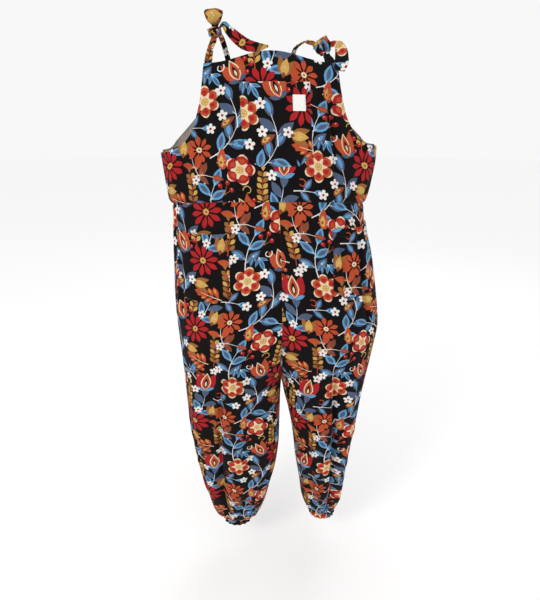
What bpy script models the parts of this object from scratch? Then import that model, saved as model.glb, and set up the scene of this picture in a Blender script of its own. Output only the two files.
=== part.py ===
"""Loose tie-strap dungarees in a printed cotton, worn and empty.

Metres, +Z up.  The front faces -Y and the viewer's right is +X.  The origin is where the
shoulders carry the two knotted straps.  Every cloth piece is an open sheet worked out from
sections, given its wall by a Solidify modifier.  Sides are named as the viewer sees them.
"""
import math

import bmesh
import bpy
import numpy as np

# ---------------------------------------------------------------- driving dimensions
CLOTH_WALL = 0.0016          # cotton, drawn as a wall
STRAP_WALL = 0.0020          # tie strap, folded and stitched
LABEL_WALL = 0.0010
HALF_SEAM = 0.00025          # each piece stops this far short of its seam line
SIDE_HALF_SEAM = 0.0005      # the same at the bodice's side seams, where the wall leans in
PATCH_GAP = 0.0018           # a patch lies this far off its panel at its nodes

WAIST_HEIGHT = -0.342        # waist seam at the side
WAIST_LIFT = 0.020           # the seam and the bib top rise this much at centre front
LIFT_END_HEIGHT = -0.600     # where the lift has died out in the trousers
CROTCH_HEIGHT = -0.815
SECTION_POWER = 0.8          # below 1: fuller than an ellipse
FORK_START = 2.24            # how late the two legs part as the rise goes down
FORK_END = 1.5               # how gently the parting ends at the crotch
BACK_TOP_LIFT = 0.015
LIFT_TOP_TURN = 40           # degrees from the middle at which the top edge's lift dies out
ROW_FAN = 3                  # how late the bodice's rows leave the level toward an edge

POCKET_WIDTH = 0.142
POCKET_DEPTH = 0.160
POCKET_CUT_WIDTH = 0.030     # slanted lower corners of each pocket
POCKET_CUT_DEPTH = 0.022
PATCH_STEPS = (12, 9)        # columns and rows of a pocket
LABEL_WIDTH = 0.026
LABEL_DEPTH = 0.030

TROUSER_COLUMNS = 16         # across half a leg, two to each gather at the cuff
BODICE_COLUMNS = 26
FRONT_ROWS = 24
BACK_COLUMNS = 22
BACK_ROWS = 15
GATHER_START = -1.225        # the cuff's gathers grow below this height
GATHER_FULL = -1.318
GATHER_SIZE = 0.0042
GATHER_UNEVEN = 0.35         # how much the gathers differ in size
GATHER_RHYTHM = 2.3          # radians from one gather's size to the next
FOLD_FADES = (0.25, 0.12)    # share of a fold's length over which it grows and dies

# ---------------------------------------------------------------- section tables
PAST_SIDE = 0.300            # past the section's reach on either side

# Bodice sections: height, centre x, left reach, right reach, front depth, back depth
BODICE_SECTIONS = (
    (-0.020, 0.000, 0.205, 0.205, 0.100, 0.096),
    (-0.120, 0.004, 0.232, 0.226, 0.117, 0.108),
    (-0.225, 0.010, 0.260, 0.233, 0.129, 0.115),
    (-0.290, 0.015, 0.259, 0.221, 0.134, 0.115),
    (-0.330, 0.018, 0.257, 0.209, 0.136, 0.113),
    (-0.342, 0.019, 0.252, 0.202, 0.136, 0.112),
)

# Edges of the bodice front: left height, left x, right height, right x.  An x past the
# section's reach means the side seam.
FRONT_EDGES = (
    (-0.342, -PAST_SIDE, -0.342, PAST_SIDE),
    (-0.300, -PAST_SIDE, -0.300, PAST_SIDE),
    (-0.260, -PAST_SIDE, -0.255, PAST_SIDE),
    (-0.230, -PAST_SIDE, -0.216, PAST_SIDE),
    (-0.224, -0.228, -0.209, 0.216),
    (-0.2155, -0.204, -0.203, 0.200),
    (-0.2055, -0.184, -0.193, 0.186),
    (-0.192, -0.170, -0.181, 0.174),
    (-0.174, -0.160, -0.165, 0.163),
    (-0.155, -0.1525, -0.147, 0.155),
    (-0.128, -0.1445, -0.122, 0.148),
    (-0.100, -0.140, -0.095, 0.142),
    (-0.075, -0.137, -0.072, 0.139),
    (-0.053, -0.134, -0.053, 0.137),
)

# Edges of the bodice back: left height, left x, right height, right x
BACK_EDGES = (
    (-0.342, -PAST_SIDE, -0.342, PAST_SIDE),
    (-0.290, -PAST_SIDE, -0.285, PAST_SIDE),
    (-0.230, -PAST_SIDE, -0.216, PAST_SIDE),
    (-0.218, -0.241, -0.206, 0.232),
    (-0.200, -0.226, -0.190, 0.217),
    (-0.180, -0.208, -0.172, 0.200),
    (-0.158, -0.188, -0.152, 0.181),
    (-0.132, -0.165, -0.130, 0.160),
    (-0.113, -0.146, -0.113, 0.142),
    (-0.100, -0.130, -0.100, 0.126),
)

# How far round the bodice's inner columns reach: way up from waist to top, degrees
CALM_TURNS = (
    (0.00, 90),
    (0.25, 80),
    (0.50, 57),
    (1.00, 36),
)

# Centre seam of the trousers: height, x
CENTRE_SEAM = (
    (-0.342, 0.019),
    (-0.480, 0.026),
    (-0.640, 0.029),
    (-0.815, 0.031),
)

# Legs: height, outer x, front depth, back depth, centre y
LEFT_LEG = (
    (-0.342, -0.231, 0.135, 0.111, 0.000),
    (-0.458, -0.236, 0.142, 0.126, 0.000),
    (-0.591, -0.241, 0.149, 0.144, 0.000),
    (-0.702, -0.234, 0.146, 0.144, 0.000),
    (-0.815, -0.230, 0.128, 0.130, 0.000),
    (-0.893, -0.229, 0.118, 0.120, 0.003),
    (-0.994, -0.224, 0.110, 0.112, 0.010),
    (-1.080, -0.214, 0.104, 0.105, 0.018),
    (-1.166, -0.201, 0.097, 0.097, 0.025),
    (-1.235, -0.186, 0.085, 0.085, 0.030),
    (-1.282, -0.176, 0.073, 0.073, 0.033),
    (-1.306, -0.166, 0.062, 0.062, 0.034),
    (-1.322, -0.152, 0.048, 0.048, 0.035),
    (-1.332, -0.145, 0.041, 0.041, 0.035),
    (-1.345, -0.147, 0.043, 0.043, 0.035),
)
RIGHT_LEG = (
    (-0.342, 0.221, 0.135, 0.111, 0.000),
    (-0.383, 0.226, 0.138, 0.116, 0.000),
    (-0.469, 0.250, 0.143, 0.128, 0.000),
    (-0.591, 0.273, 0.149, 0.144, 0.000),
    (-0.640, 0.278, 0.148, 0.146, 0.000),
    (-0.702, 0.270, 0.146, 0.145, 0.002),
    (-0.815, 0.255, 0.132, 0.134, 0.006),
    (-0.908, 0.246, 0.122, 0.124, 0.013),
    (-0.994, 0.238, 0.116, 0.118, 0.022),
    (-1.080, 0.231, 0.110, 0.110, 0.033),
    (-1.166, 0.226, 0.100, 0.100, 0.045),
    (-1.235, 0.221, 0.086, 0.086, 0.052),
    (-1.282, 0.216, 0.072, 0.072, 0.056),
    (-1.306, 0.211, 0.060, 0.060, 0.058),
    (-1.322, 0.208, 0.046, 0.046, 0.060),
    (-1.332, 0.207, 0.040, 0.040, 0.060),
    (-1.345, 0.209, 0.042, 0.042, 0.060),
)

# Inseams below the crotch: height, left leg x, right leg x
INSEAMS = (
    (-0.815, 0.031, 0.031),
    (-0.850, 0.029, 0.037),
    (-0.893, 0.028, 0.047),
    (-0.960, 0.027, 0.060),
    (-1.020, 0.026, 0.068),
    (-1.095, 0.019, 0.076),
    (-1.182, 0.001, 0.089),
    (-1.245, -0.014, 0.098),
    (-1.282, -0.026, 0.108),
    (-1.306, -0.036, 0.117),
    (-1.322, -0.052, 0.127),
    (-1.332, -0.061, 0.130),
    (-1.345, -0.059, 0.128),
)

# Trouser rows, as heights; the rise above the crotch is given as a share of its depth
RISE_ROWS = (0.0, 0.07, 0.15, 0.235, 0.32, 0.405, 0.49, 0.58, 0.67, 0.76, 0.84, 0.90, 0.945,
             0.977, 0.993, 1.0)
LEG_ROWS = (-0.832, -0.860, -0.900, -0.950, -1.010, -1.070, -1.130, -1.185, -1.230,
            -1.262, -1.288, -1.308, -1.322, -1.332, -1.345)

# Folds: piece, height of top, height of bottom, turn round the section at top and at
# bottom in degrees (0 faces front or back, 90 is the outer side), half width in degrees,
# depth (negative goes inward)
FOLDS = (
    ("trouser_front_left", -0.610, -1.335, 21, 24, 11, -0.014),
    ("trouser_front_left", -0.700, -1.300, 46, 52, 12, 0.006),
    ("trouser_front_left", -0.780, -1.290, -26, -20, 12, -0.008),
    ("trouser_front_right", -0.640, -1.335, 12, 24, 11, -0.015),
    ("trouser_front_right", -0.720, -1.300, 38, 54, 12, 0.007),
    ("trouser_front_right", -0.840, -1.290, -42, -28, 12, -0.007),
    ("trouser_back_left", -0.640, -1.335, 4, 12, 12, -0.013),
    ("trouser_back_left", -0.820, -1.290, 46, 56, 12, -0.008),
    ("trouser_back_right", -0.600, -1.335, 8, 20, 12, -0.013),
    ("trouser_back_right", -0.860, -1.290, -40, -34, 12, -0.008),
    ("bodice_front", -0.045, -0.210, 33, 36, 5, 0.005),
    ("bodice_front", -0.140, -0.338, -44, -52, 8, -0.005),
    ("bodice_front", -0.170, -0.338, 46, 50, 8, -0.005),
    ("bodice_back", -0.120, -0.335, -32, -38, 10, -0.006),
    ("bodice_back", -0.150, -0.335, 26, 34, 10, -0.006),
)

# Straps: x, y, z, width, then the direction across the band (x, y, z)
STRAP_FRONT_LEFT = (
    (-0.1180, -0.0290, -0.0005, 0.013, 1.0, 0.0, 0.0),
    (-0.1215, -0.0420, -0.0130, 0.013, 1.0, 0.0, 0.0),
    (-0.1240, -0.0590, -0.0290, 0.014, 1.0, 0.1, 0.0),
    (-0.1250, -0.0740, -0.0450, 0.016, 1.0, 0.2, 0.0),
)
STRAP_BACK_LEFT = (
    (-0.1100, -0.0050, 0.0130, 0.012, 1.0, 0.3, 0.0),
    (-0.1070, 0.0210, 0.0120, 0.012, 1.0, 0.2, 0.0),
    (-0.1020, 0.0520, -0.0040, 0.012, 1.0, 0.1, 0.0),
    (-0.0970, 0.0770, -0.0290, 0.013, 1.0, 0.0, 0.0),
    (-0.0950, 0.0905, -0.0600, 0.016, 1.0, 0.0, 0.0),
)
STRAP_FRONT_RIGHT = (
    (0.1165, -0.0610, -0.0345, 0.016, 1.0, 0.1, 0.0),
    (0.1195, -0.0700, -0.0415, 0.019, 1.0, 0.0, 0.0),
    (0.1215, -0.0785, -0.0480, 0.021, 1.0, -0.2, 0.0),
)
STRAP_BACK_RIGHT = (
    (0.0880, -0.0370, -0.0100, 0.014, 0.5, 0.6, 0.5),
    (0.0800, -0.0130, -0.0030, 0.013, 0.5, 0.8, 0.3),
    (0.0690, 0.0160, -0.0020, 0.012, 0.6, 0.8, 0.2),
    (0.0560, 0.0440, -0.0090, 0.012, 0.8, 0.6, 0.1),
    (0.0520, 0.0700, -0.0280, 0.013, 1.0, 0.2, 0.0),
    (0.0600, 0.0905, -0.0560, 0.016, 1.0, 0.0, 0.0),
)
BOW_LOOP_LEFT = (
    (-0.1150, -0.0270, 0.0270, 0.013, 1.0, 0.0, 0.0),
    (-0.1155, -0.0350, 0.0330, 0.027, 1.0, 0.1, 0.0),
    (-0.1155, -0.0375, 0.0415, 0.037, 1.0, 0.1, 0.0),
    (-0.1155, -0.0300, 0.0490, 0.038, 1.0, 0.1, 0.0),
    (-0.1155, -0.0170, 0.0485, 0.035, 1.0, 0.0, 0.0),
    (-0.1150, -0.0105, 0.0395, 0.026, 1.0, 0.0, 0.0),
    (-0.1150, -0.0160, 0.0275, 0.013, 1.0, 0.0, 0.0),
)
TIE_END_LEFT = (
    (-0.0985, -0.0300, 0.0275, 0.011, 0.5, 0.1, 0.85),
    (-0.0860, -0.0385, 0.0150, 0.018, 0.4, -0.1, 0.9),
    (-0.0690, -0.0500, -0.0010, 0.022, 0.4, 0.0, 0.9),
    (-0.0480, -0.0640, -0.0160, 0.023, 0.3, 0.2, 0.9),
    (-0.0250, -0.0800, -0.0230, 0.017, 0.1, 0.2, 0.9),
    (-0.0040, -0.0930, -0.0235, 0.004, 0.0, 0.2, 0.9),
)
TIE_END_RIGHT = (
    (0.1340, -0.0480, -0.0110, 0.013, 0.5, 0.1, 0.85),
    (0.1400, -0.0580, -0.0160, 0.019, 0.6, 0.1, 0.8),
    (0.1435, -0.0700, -0.0260, 0.024, 0.85, 0.1, 0.5),
    (0.1440, -0.0840, -0.0400, 0.027, 1.0, 0.0, 0.2),
    (0.1425, -0.0950, -0.0550, 0.027, 1.0, -0.1, 0.1),
    (0.1390, -0.0995, -0.0670, 0.020, 1.0, -0.1, 0.0),
)
# Knots: centre x, y, z, then half width, half depth, half height
KNOT_LEFT = (-0.1155, -0.0220, 0.0135, 0.0160, 0.0140, 0.0115)
KNOT_RIGHT = (0.1100, -0.0430, -0.0165, 0.0190, 0.0150, 0.0180)

KNOT_TURNS = 3               # turns of strap seen from bottom to top of a knot
KNOT_GROOVE = 0.10           # depth of the grooves between them, as a share of its size

STRAP_SEW_IN = 0.018         # a strap runs this far down the wrong side of its panel
STRAP_STEP = 0.0055          # length of one step along a strap
STRAP_HOLLOW = 0.10          # rise of a strap's middle, as a share of its width
STRAP_TURN_DOWN = 0.004      # a strap enters and leaves the panel's edge this far above and below
FRONT_STRAP_PLACES = (0.035, 0.950)   # share of the bib's width, left and right
BACK_STRAP_PLACES = (0.140, 0.760)

BIB_POCKET_CENTRE = 0.006    # distance round the bodice from its centre line
BIB_POCKET_TOP = -0.090
HIP_POCKET_START = 0.117     # distance round the hip from the centre seam
HIP_POCKET_TOPS = (-0.391, -0.380)
HIP_POCKET_SAG = 0.005       # droop of a hip pocket's mouth
LABEL_OFFSET = 0.047         # label's middle, right of the pocket's middle
LABEL_TOP = -0.114

COTTON = ("cotton", (0.020, 0.020, 0.025), 0.85)
LABEL_CLOTH = ("label_cloth", (0.85, 0.85, 0.84), 0.80)


# ---------------------------------------------------------------- curves and tables
def column(table, index):
    """One named column of a table."""
    return np.array([row[index] for row in table])


def smooth(xs, ys, x):
    """Curve through the points of a table that never overshoots them."""
    order = np.argsort(xs)
    xs, ys = np.asarray(xs, float)[order], np.asarray(ys, float)[order]
    x = np.clip(np.asarray(x, float), xs[0], xs[-1])
    step = np.diff(xs)
    slope = np.diff(ys) / step
    tangent = np.zeros(len(xs))
    tangent[0], tangent[-1] = slope[0], slope[-1]
    before, after = slope[:-1], slope[1:]
    same_way = before * after > 0
    mean = np.zeros(len(before))
    mean[same_way] = 2 * before[same_way] * after[same_way] / (before + after)[same_way]
    tangent[1:-1] = mean
    i = np.clip(np.searchsorted(xs, x, side="right") - 1, 0, len(xs) - 2)
    t = (x - xs[i]) / step[i]
    return ((2 * t**3 - 3 * t**2 + 1) * ys[i] + (t**3 - 2 * t**2 + t) * step[i] * tangent[i]
            + (3 * t**2 - 2 * t**3) * ys[i + 1] + (t**3 - t**2) * step[i] * tangent[i + 1])


def read(table, index, height):
    """A section table's column at a height."""
    return smooth(column(table, 0), column(table, index), height)


def ease(t):
    """0 to 1 with level ends."""
    t = np.clip(t, 0.0, 1.0)
    return t * t * (3 - 2 * t)


# ---------------------------------------------------------------- sheets of points
def normals_of(grid, flip, seams=None):
    """Unit normals of a rows x columns grid, kept in the seam's plane along a seam."""
    down = np.gradient(grid, axis=0)
    across = np.gradient(grid, axis=1)
    normal = np.cross(down, across)
    if seams is not None:
        rows = np.arange(len(grid))
        normal[rows, 0, seams[0]] = 0
        normal[rows, -1, seams[1]] = 0
    normal /= np.maximum(np.linalg.norm(normal, axis=2, keepdims=True), 1e-12)
    return -normal if flip else normal


class Sheet:
    """Points of one cloth panel, rows from top to bottom, with its outward normals."""

    def __init__(self, name, grid, flip, seams=None, turn=None):
        self.name = name
        self.flip = flip
        self.seams = seams
        self.grid = grid if turn is None else self.folded(grid, turn)
        self.normals = normals_of(self.grid, flip, seams)

    def folded(self, grid, turn):
        """The grid with the main folds pressed into it along its normals."""
        normal = normals_of(grid, self.flip, self.seams)
        height = grid[:, :, 2]
        move = np.zeros(height.shape)
        for piece, top, bottom, place_top, place_bottom, half, depth in FOLDS:
            if piece != self.name:
                continue
            way = np.clip((top - height) / (top - bottom), 0, 1)
            place = place_top + (place_bottom - place_top) * way
            ends = ease(way / FOLD_FADES[0]) * ease((1 - way) / FOLD_FADES[1])
            move += depth * ends * np.exp(-((turn - place) / half) ** 2)
        move[:, [0, -1]] = 0
        return grid + normal * move[:, :, None]

    def at(self, row, col):
        """Point and outward normal at a row and column that need not be whole."""
        i = int(min(max(math.floor(row), 0), self.grid.shape[0] - 2))
        j = int(min(max(math.floor(col), 0), self.grid.shape[1] - 2))
        u, v = row - i, col - j
        found = []
        for values in (self.grid, self.normals):
            top = values[i, j] * (1 - v) + values[i, j + 1] * v
            low = values[i + 1, j] * (1 - v) + values[i + 1, j + 1] * v
            found.append(top * (1 - u) + low * u)
        return found[0], found[1] / np.linalg.norm(found[1])

    def locate(self, distance, height, start_column=0.0):
        """Row and column at a distance round the panel from a column, at a height."""
        rows, cols = self.grid.shape[:2]
        steps = np.linalg.norm(np.diff(self.grid, axis=1), axis=2)
        columns, heights = [], []
        for i in range(rows):
            along = np.concatenate(([0], np.cumsum(steps[i])))
            zero = np.interp(start_column, np.arange(cols), along)
            col = np.interp(zero + distance, along, np.arange(cols))
            columns.append(col)
            heights.append(np.interp(col, np.arange(cols), self.grid[i, :, 2]))
        row = np.interp(-height, -np.array(heights), np.arange(rows))
        return float(row), float(np.interp(row, np.arange(rows), columns))


# ---------------------------------------------------------------- the garment's sections
def bodice_sheet(name, edges, rows, columns, back):
    """Front or back of the bodice: rows between its edges, bent round the chest.

    The rows are level and even down the middle and fan out to meet the armhole edges, and
    the columns inside turn more calmly than the edges do at the underarm.
    """
    way = np.linspace(1, 0, rows)
    places = np.linspace(0, 1, len(edges))
    left_z, left_x, right_z, right_x = (smooth(places, column(edges, k), way) for k in range(4))
    calm = np.radians(smooth(column(CALM_TURNS, 0), column(CALM_TURNS, 1), way))
    waist, top = edges[0][0], edges[-1][0]
    share = np.linspace(-1, 1, columns + 1)
    left = share < 0
    grid = np.zeros((rows, columns + 1, 3))
    turns = np.zeros((rows, columns + 1))
    for i in range(rows):
        middle = waist + (top - waist) * way[i]
        edge = np.where(left, left_z[i], right_z[i])
        height = middle + (edge - middle) * np.abs(share) ** ROW_FAN
        up = np.clip((height - waist) / (top - waist), 0, 1)
        centre = read(BODICE_SECTIONS, 1, height)
        left_reach = read(BODICE_SECTIONS, 2, height)
        right_reach = read(BODICE_SECTIONS, 3, height)
        depth = read(BODICE_SECTIONS, 5 if back else 4, height)
        left_turn = math.asin(min((centre[0] - left_x[i]) / left_reach[0], 1))
        right_turn = math.asin(min((right_x[i] - centre[-1]) / right_reach[-1], 1))
        edge_turn = np.where(left, left_turn, right_turn)
        turn = share * (calm[i] + (edge_turn - calm[i]) * share**2)
        turns[i] = np.degrees(turn)
        bulge = depth * np.maximum(np.cos(turn), 0) ** SECTION_POWER
        grid[i, :, 0] = centre + np.where(left, left_reach, right_reach) * np.sin(turn)
        grid[i, :, 1] = bulge + SIDE_HALF_SEAM if back else -bulge - SIDE_HALF_SEAM
        span = 90 + (LIFT_TOP_TURN - 90) * up
        bell = np.cos(np.radians(90 * np.clip(np.abs(turns[i]) / span, 0, 1))) ** (1 + 2 * up)
        grid[i, :, 2] = height + (BACK_TOP_LIFT * up if back else WAIST_LIFT) * bell
    grid[-1, :, 2] += HALF_SEAM
    sides = (np.ones(rows, int), np.ones(rows, int))
    return Sheet(name, grid, back, sides, turns)


def leg_sheet(name, leg, inseam_column, side, back):
    """Front or back of one leg, from the waist seam to the elastic hem."""
    rise = WAIST_HEIGHT + (CROTCH_HEIGHT - WAIST_HEIGHT) * np.array(RISE_ROWS)
    heights = np.concatenate((rise, LEG_ROWS))
    shares = np.linspace(0, 1, TROUSER_COLUMNS + 1)
    grid = np.zeros((len(heights), TROUSER_COLUMNS + 1, 3))
    turns = np.zeros((len(heights), TROUSER_COLUMNS + 1))
    for i, height in enumerate(heights):
        outer = read(leg, 1, height)
        depth = read(leg, 3 if back else 2, height)
        middle = read(leg, 4, height)
        if height > CROTCH_HEIGHT:
            seam = smooth(column(CENTRE_SEAM, 0), column(CENTRE_SEAM, 1), height)
            fall = (height - WAIST_HEIGHT) / (CROTCH_HEIGHT - WAIST_HEIGHT)
            fork = 1 - (1 - fall**FORK_START) ** FORK_END
            half = (outer - seam) / (1 + fork)
            centre = seam + fork * half
            start = -math.asin(min(fork, 1))
        else:
            inner = read(INSEAMS, inseam_column, height)
            half = (outer - inner) / 2
            centre = (outer + inner) / 2
            start = -math.pi / 2
        turn = start + (math.pi / 2 - start) * shares
        turns[i] = np.degrees(turn)
        bulge = depth * np.maximum(np.cos(turn), 0) ** SECTION_POWER
        fade = ease((height - LIFT_END_HEIGHT) / (WAIST_HEIGHT - LIFT_END_HEIGHT))
        lift = 0 if back else WAIST_LIFT * fade * np.maximum(np.cos(turn), 0)
        grid[i, :, 0] = centre + half * np.sin(turn) + side * HALF_SEAM
        grid[i, :, 1] = middle + (bulge + HALF_SEAM if back else -bulge - HALF_SEAM)
        grid[i, :, 2] = height + lift
    grid[0, :, 2] -= HALF_SEAM
    inner_seam = np.where(heights > CROTCH_HEIGHT, 0, 1)
    seams = (inner_seam, np.ones(len(heights), int))
    sheet = Sheet(name, grid, (side > 0) == back, seams, turns)
    gather(sheet, heights)
    return sheet


def gather(sheet, heights):
    """Gathers of the elastic hem: every other column stands out, and each seam lies low."""
    columns = np.arange(TROUSER_COLUMNS + 1)
    wave = np.where(columns % 2 == 0, -1.0, 1.0) * (1 + GATHER_UNEVEN * np.sin(GATHER_RHYTHM * columns))
    wave[[0, -1]] = -1.0
    size = GATHER_SIZE * ease((GATHER_START - heights) / (GATHER_START - GATHER_FULL))
    sheet.grid += sheet.normals * (size[:, None] * wave[None, :])[:, :, None]
    sheet.normals = normals_of(sheet.grid, sheet.flip, sheet.seams)


def patch_sheet(name, panel, start_column, left, top, width, depth, cut, gap, steps, sag=0.0):
    """A patch that lies on a panel: its points are the panel's, moved out."""
    cut_width, cut_depth = cut
    columns, rows = steps
    downs = np.linspace(0, 1, rows + 1)
    if cut_depth:
        cut_share = cut_depth / depth
        downs = np.concatenate((np.linspace(0, 1 - cut_share, rows - 1),
                                [1 - cut_share / 2, 1.0]))
    grid = np.zeros((rows + 1, columns + 1, 3))
    for i, down in enumerate(downs):
        drop = down * depth
        inset = cut_width * max(0.0, (drop - (depth - cut_depth)) / cut_depth) if cut_depth else 0.0
        for j, share in enumerate(np.linspace(0, 1, columns + 1)):
            distance = left + inset + (width - 2 * inset) * share
            dip = sag * (1 - down) * math.sin(math.pi * share)
            row, col = panel.locate(distance, top - drop - dip, start_column)
            point, normal = panel.at(row, col)
            grid[i, j] = point + normal * gap
    patch = Sheet(name, grid, flip=False)
    middle = panel.locate(left + width / 2, top - depth / 2, start_column)
    if np.dot(patch.normals[rows // 2, columns // 2], panel.at(*middle)[1]) < 0:
        patch = Sheet(name, grid, flip=True)
    return patch


# ---------------------------------------------------------------- straps
def strap_sheet(name, stops):
    """A tie strap's band along a smooth route, a little hollow across."""
    stops = np.array(stops, float)
    span = np.concatenate(([0], np.cumsum(np.linalg.norm(np.diff(stops[:, :3], axis=0), axis=1))))
    count = max(4, int(round(span[-1] / STRAP_STEP)))
    where = np.linspace(0, span[-1], count + 1)
    values = np.array([cubic(span, stops[:, k], where) for k in range(7)]).T
    route, width, across = values[:, :3], values[:, 3], values[:, 4:]
    tangent = np.gradient(route, axis=0)
    tangent /= np.linalg.norm(tangent, axis=1, keepdims=True)
    across = across - tangent * np.sum(across * tangent, axis=1, keepdims=True)
    across /= np.linalg.norm(across, axis=1, keepdims=True)
    face = np.cross(across, tangent)
    grid = np.zeros((count + 1, 3, 3))
    for j, share in enumerate((-0.5, 0.0, 0.5)):
        hollow = STRAP_HOLLOW * width * (1 - (2 * share) ** 2)
        grid[:, j] = route + across * (width * share)[:, None] + face * hollow[:, None]
    return Sheet(name, grid, flip=False)


def cubic(xs, ys, x):
    """Smooth curve through hand-placed stops, with the slope of their neighbours."""
    slope = np.gradient(ys, xs)
    i = np.clip(np.searchsorted(xs, x, side="right") - 1, 0, len(xs) - 2)
    step = xs[i + 1] - xs[i]
    t = (x - xs[i]) / step
    return ((2 * t**3 - 3 * t**2 + 1) * ys[i] + (t**3 - 2 * t**2 + t) * step * slope[i]
            + (3 * t**2 - 2 * t**3) * ys[i + 1] + (t**3 - t**2) * step * slope[i + 1])


def sewn_in(stops, panel, place):
    """A strap's stops, carried on down the wrong side of a panel from its top edge."""
    col = place * (panel.grid.shape[1] - 1)
    width = stops[-1][3]
    clear = CLOTH_WALL + PATCH_GAP + STRAP_WALL + STRAP_HOLLOW * width
    more = []
    for drop in (-STRAP_TURN_DOWN, STRAP_TURN_DOWN, STRAP_SEW_IN):
        depth = max(drop, 0.0)
        lengths = np.linalg.norm(np.diff(panel.grid[:, int(col)], axis=0), axis=1)
        row = float(np.interp(depth, np.concatenate(([0], np.cumsum(lengths))),
                              np.arange(panel.grid.shape[0])))
        point, normal = panel.at(row, col)
        side, _ = panel.at(row, col + 1)
        across = (side - point) / np.linalg.norm(side - point)
        inside = point - normal * clear
        if drop < 0:
            inside[2] -= drop
        more.append(tuple(inside) + (width,) + tuple(across))
    return tuple(stops) + tuple(more)


# ---------------------------------------------------------------- Blender objects
def clear_scene():
    for item in list(bpy.data.objects):
        bpy.data.objects.remove(item, do_unlink=True)


def material(finish):
    """A plain Principled finish, made once."""
    name, colour, roughness = finish
    found = bpy.data.materials.get(name)
    if found:
        return found
    made = bpy.data.materials.new(name)
    made.use_nodes = True
    shader = made.node_tree.nodes["Principled BSDF"]
    shader.inputs["Base Color"].default_value = (*colour, 1.0)
    shader.inputs["Roughness"].default_value = roughness
    made.diffuse_color = (*colour, 1.0)
    return made


def put(name, mesh, finish, collection):
    """Link a mesh as a smooth-shaded object of the garment."""
    mesh.materials.append(material(finish))
    mesh.shade_smooth()
    mesh.set_sharp_from_angle(angle=math.radians(50))
    made = bpy.data.objects.new(name, mesh)
    collection.objects.link(made)
    return made


def cloth_object(sheet, wall, finish, collection):
    """The sheet as a loft of its rows, with its wall inward from Solidify."""
    mesh = bpy.data.meshes.new(sheet.name)
    work = bmesh.new()
    rows, cols = sheet.grid.shape[:2]
    points = [[work.verts.new(sheet.grid[i, j]) for j in range(cols)] for i in range(rows)]
    for i in range(rows - 1):
        for j in range(cols - 1):
            corners = [points[i][j], points[i][j + 1], points[i + 1][j + 1], points[i + 1][j]]
            work.faces.new(corners if sheet.flip else corners[::-1])
    work.to_mesh(mesh)
    work.free()
    made = put(sheet.name, mesh, finish, collection)
    shell = made.modifiers.new("wall", "SOLIDIFY")
    shell.thickness = wall
    shell.offset = -1.0
    shell.use_even_offset = False
    return made


def knot_object(name, size, collection):
    """A pulled-tight knot: a ball with the turns of the strap wound round it."""
    x, y, z, half_width, half_depth, half_height = size
    work = bmesh.new()
    bmesh.ops.create_uvsphere(work, u_segments=20, v_segments=12, radius=1.0)
    for vert in work.verts:
        turn = math.atan2(vert.co.y, vert.co.x)
        rise = math.asin(max(-1.0, min(1.0, vert.co.z)))
        wind = math.sin(KNOT_TURNS * rise + turn) * math.cos(rise)
        swell = 1 - KNOT_GROOVE + KNOT_GROOVE * wind
        vert.co = (x + half_width * swell * vert.co.x, y + half_depth * swell * vert.co.y,
                   z + half_height * swell * vert.co.z)
    mesh = bpy.data.meshes.new(name)
    work.to_mesh(mesh)
    work.free()
    return put(name, mesh, COTTON, collection)


# ---------------------------------------------------------------- the pieces
def make_bodice():
    front = bodice_sheet("bodice_front", FRONT_EDGES, FRONT_ROWS, BODICE_COLUMNS, back=False)
    back = bodice_sheet("bodice_back", BACK_EDGES, BACK_ROWS, BACK_COLUMNS, back=True)
    return front, back


def make_trousers():
    legs = {}
    for side, word, table, inseam in ((-1, "left", LEFT_LEG, 1), (1, "right", RIGHT_LEG, 2)):
        for back in (False, True):
            name = "trouser_" + ("back_" if back else "front_") + word
            legs[name] = leg_sheet(name, table, inseam, side, back)
    return legs


def make_pockets(front, legs):
    cut = (POCKET_CUT_WIDTH, POCKET_CUT_DEPTH)
    bib = patch_sheet("bib_pocket", front, BODICE_COLUMNS / 2, BIB_POCKET_CENTRE - POCKET_WIDTH / 2,
                      BIB_POCKET_TOP, POCKET_WIDTH, POCKET_DEPTH, cut,
                      PATCH_GAP + CLOTH_WALL, PATCH_STEPS)
    pockets = [bib]
    for word, top in zip(("left", "right"), HIP_POCKET_TOPS):
        panel = legs["trouser_front_" + word]
        pockets.append(patch_sheet("hip_pocket_" + word, panel, 0.0, HIP_POCKET_START, top,
                                   POCKET_WIDTH, POCKET_DEPTH, cut,
                                   PATCH_GAP + CLOTH_WALL, PATCH_STEPS, HIP_POCKET_SAG))
    label = patch_sheet("bib_label", bib, PATCH_STEPS[0] / 2, LABEL_OFFSET - LABEL_WIDTH / 2, LABEL_TOP,
                        LABEL_WIDTH, LABEL_DEPTH, (0.0, 0.0), PATCH_GAP + LABEL_WALL, (3, 3))
    return pockets, label


def make_straps(front, back):
    return (
        strap_sheet("strap_front_left", sewn_in(STRAP_FRONT_LEFT, front, FRONT_STRAP_PLACES[0])),
        strap_sheet("strap_front_right", sewn_in(STRAP_FRONT_RIGHT, front, FRONT_STRAP_PLACES[1])),
        strap_sheet("strap_back_left", sewn_in(STRAP_BACK_LEFT, back, BACK_STRAP_PLACES[0])),
        strap_sheet("strap_back_right", sewn_in(STRAP_BACK_RIGHT, back, BACK_STRAP_PLACES[1])),
        strap_sheet("bow_loop_left", BOW_LOOP_LEFT),
        strap_sheet("tie_end_left", TIE_END_LEFT),
        strap_sheet("tie_end_right", TIE_END_RIGHT),
    )


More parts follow.
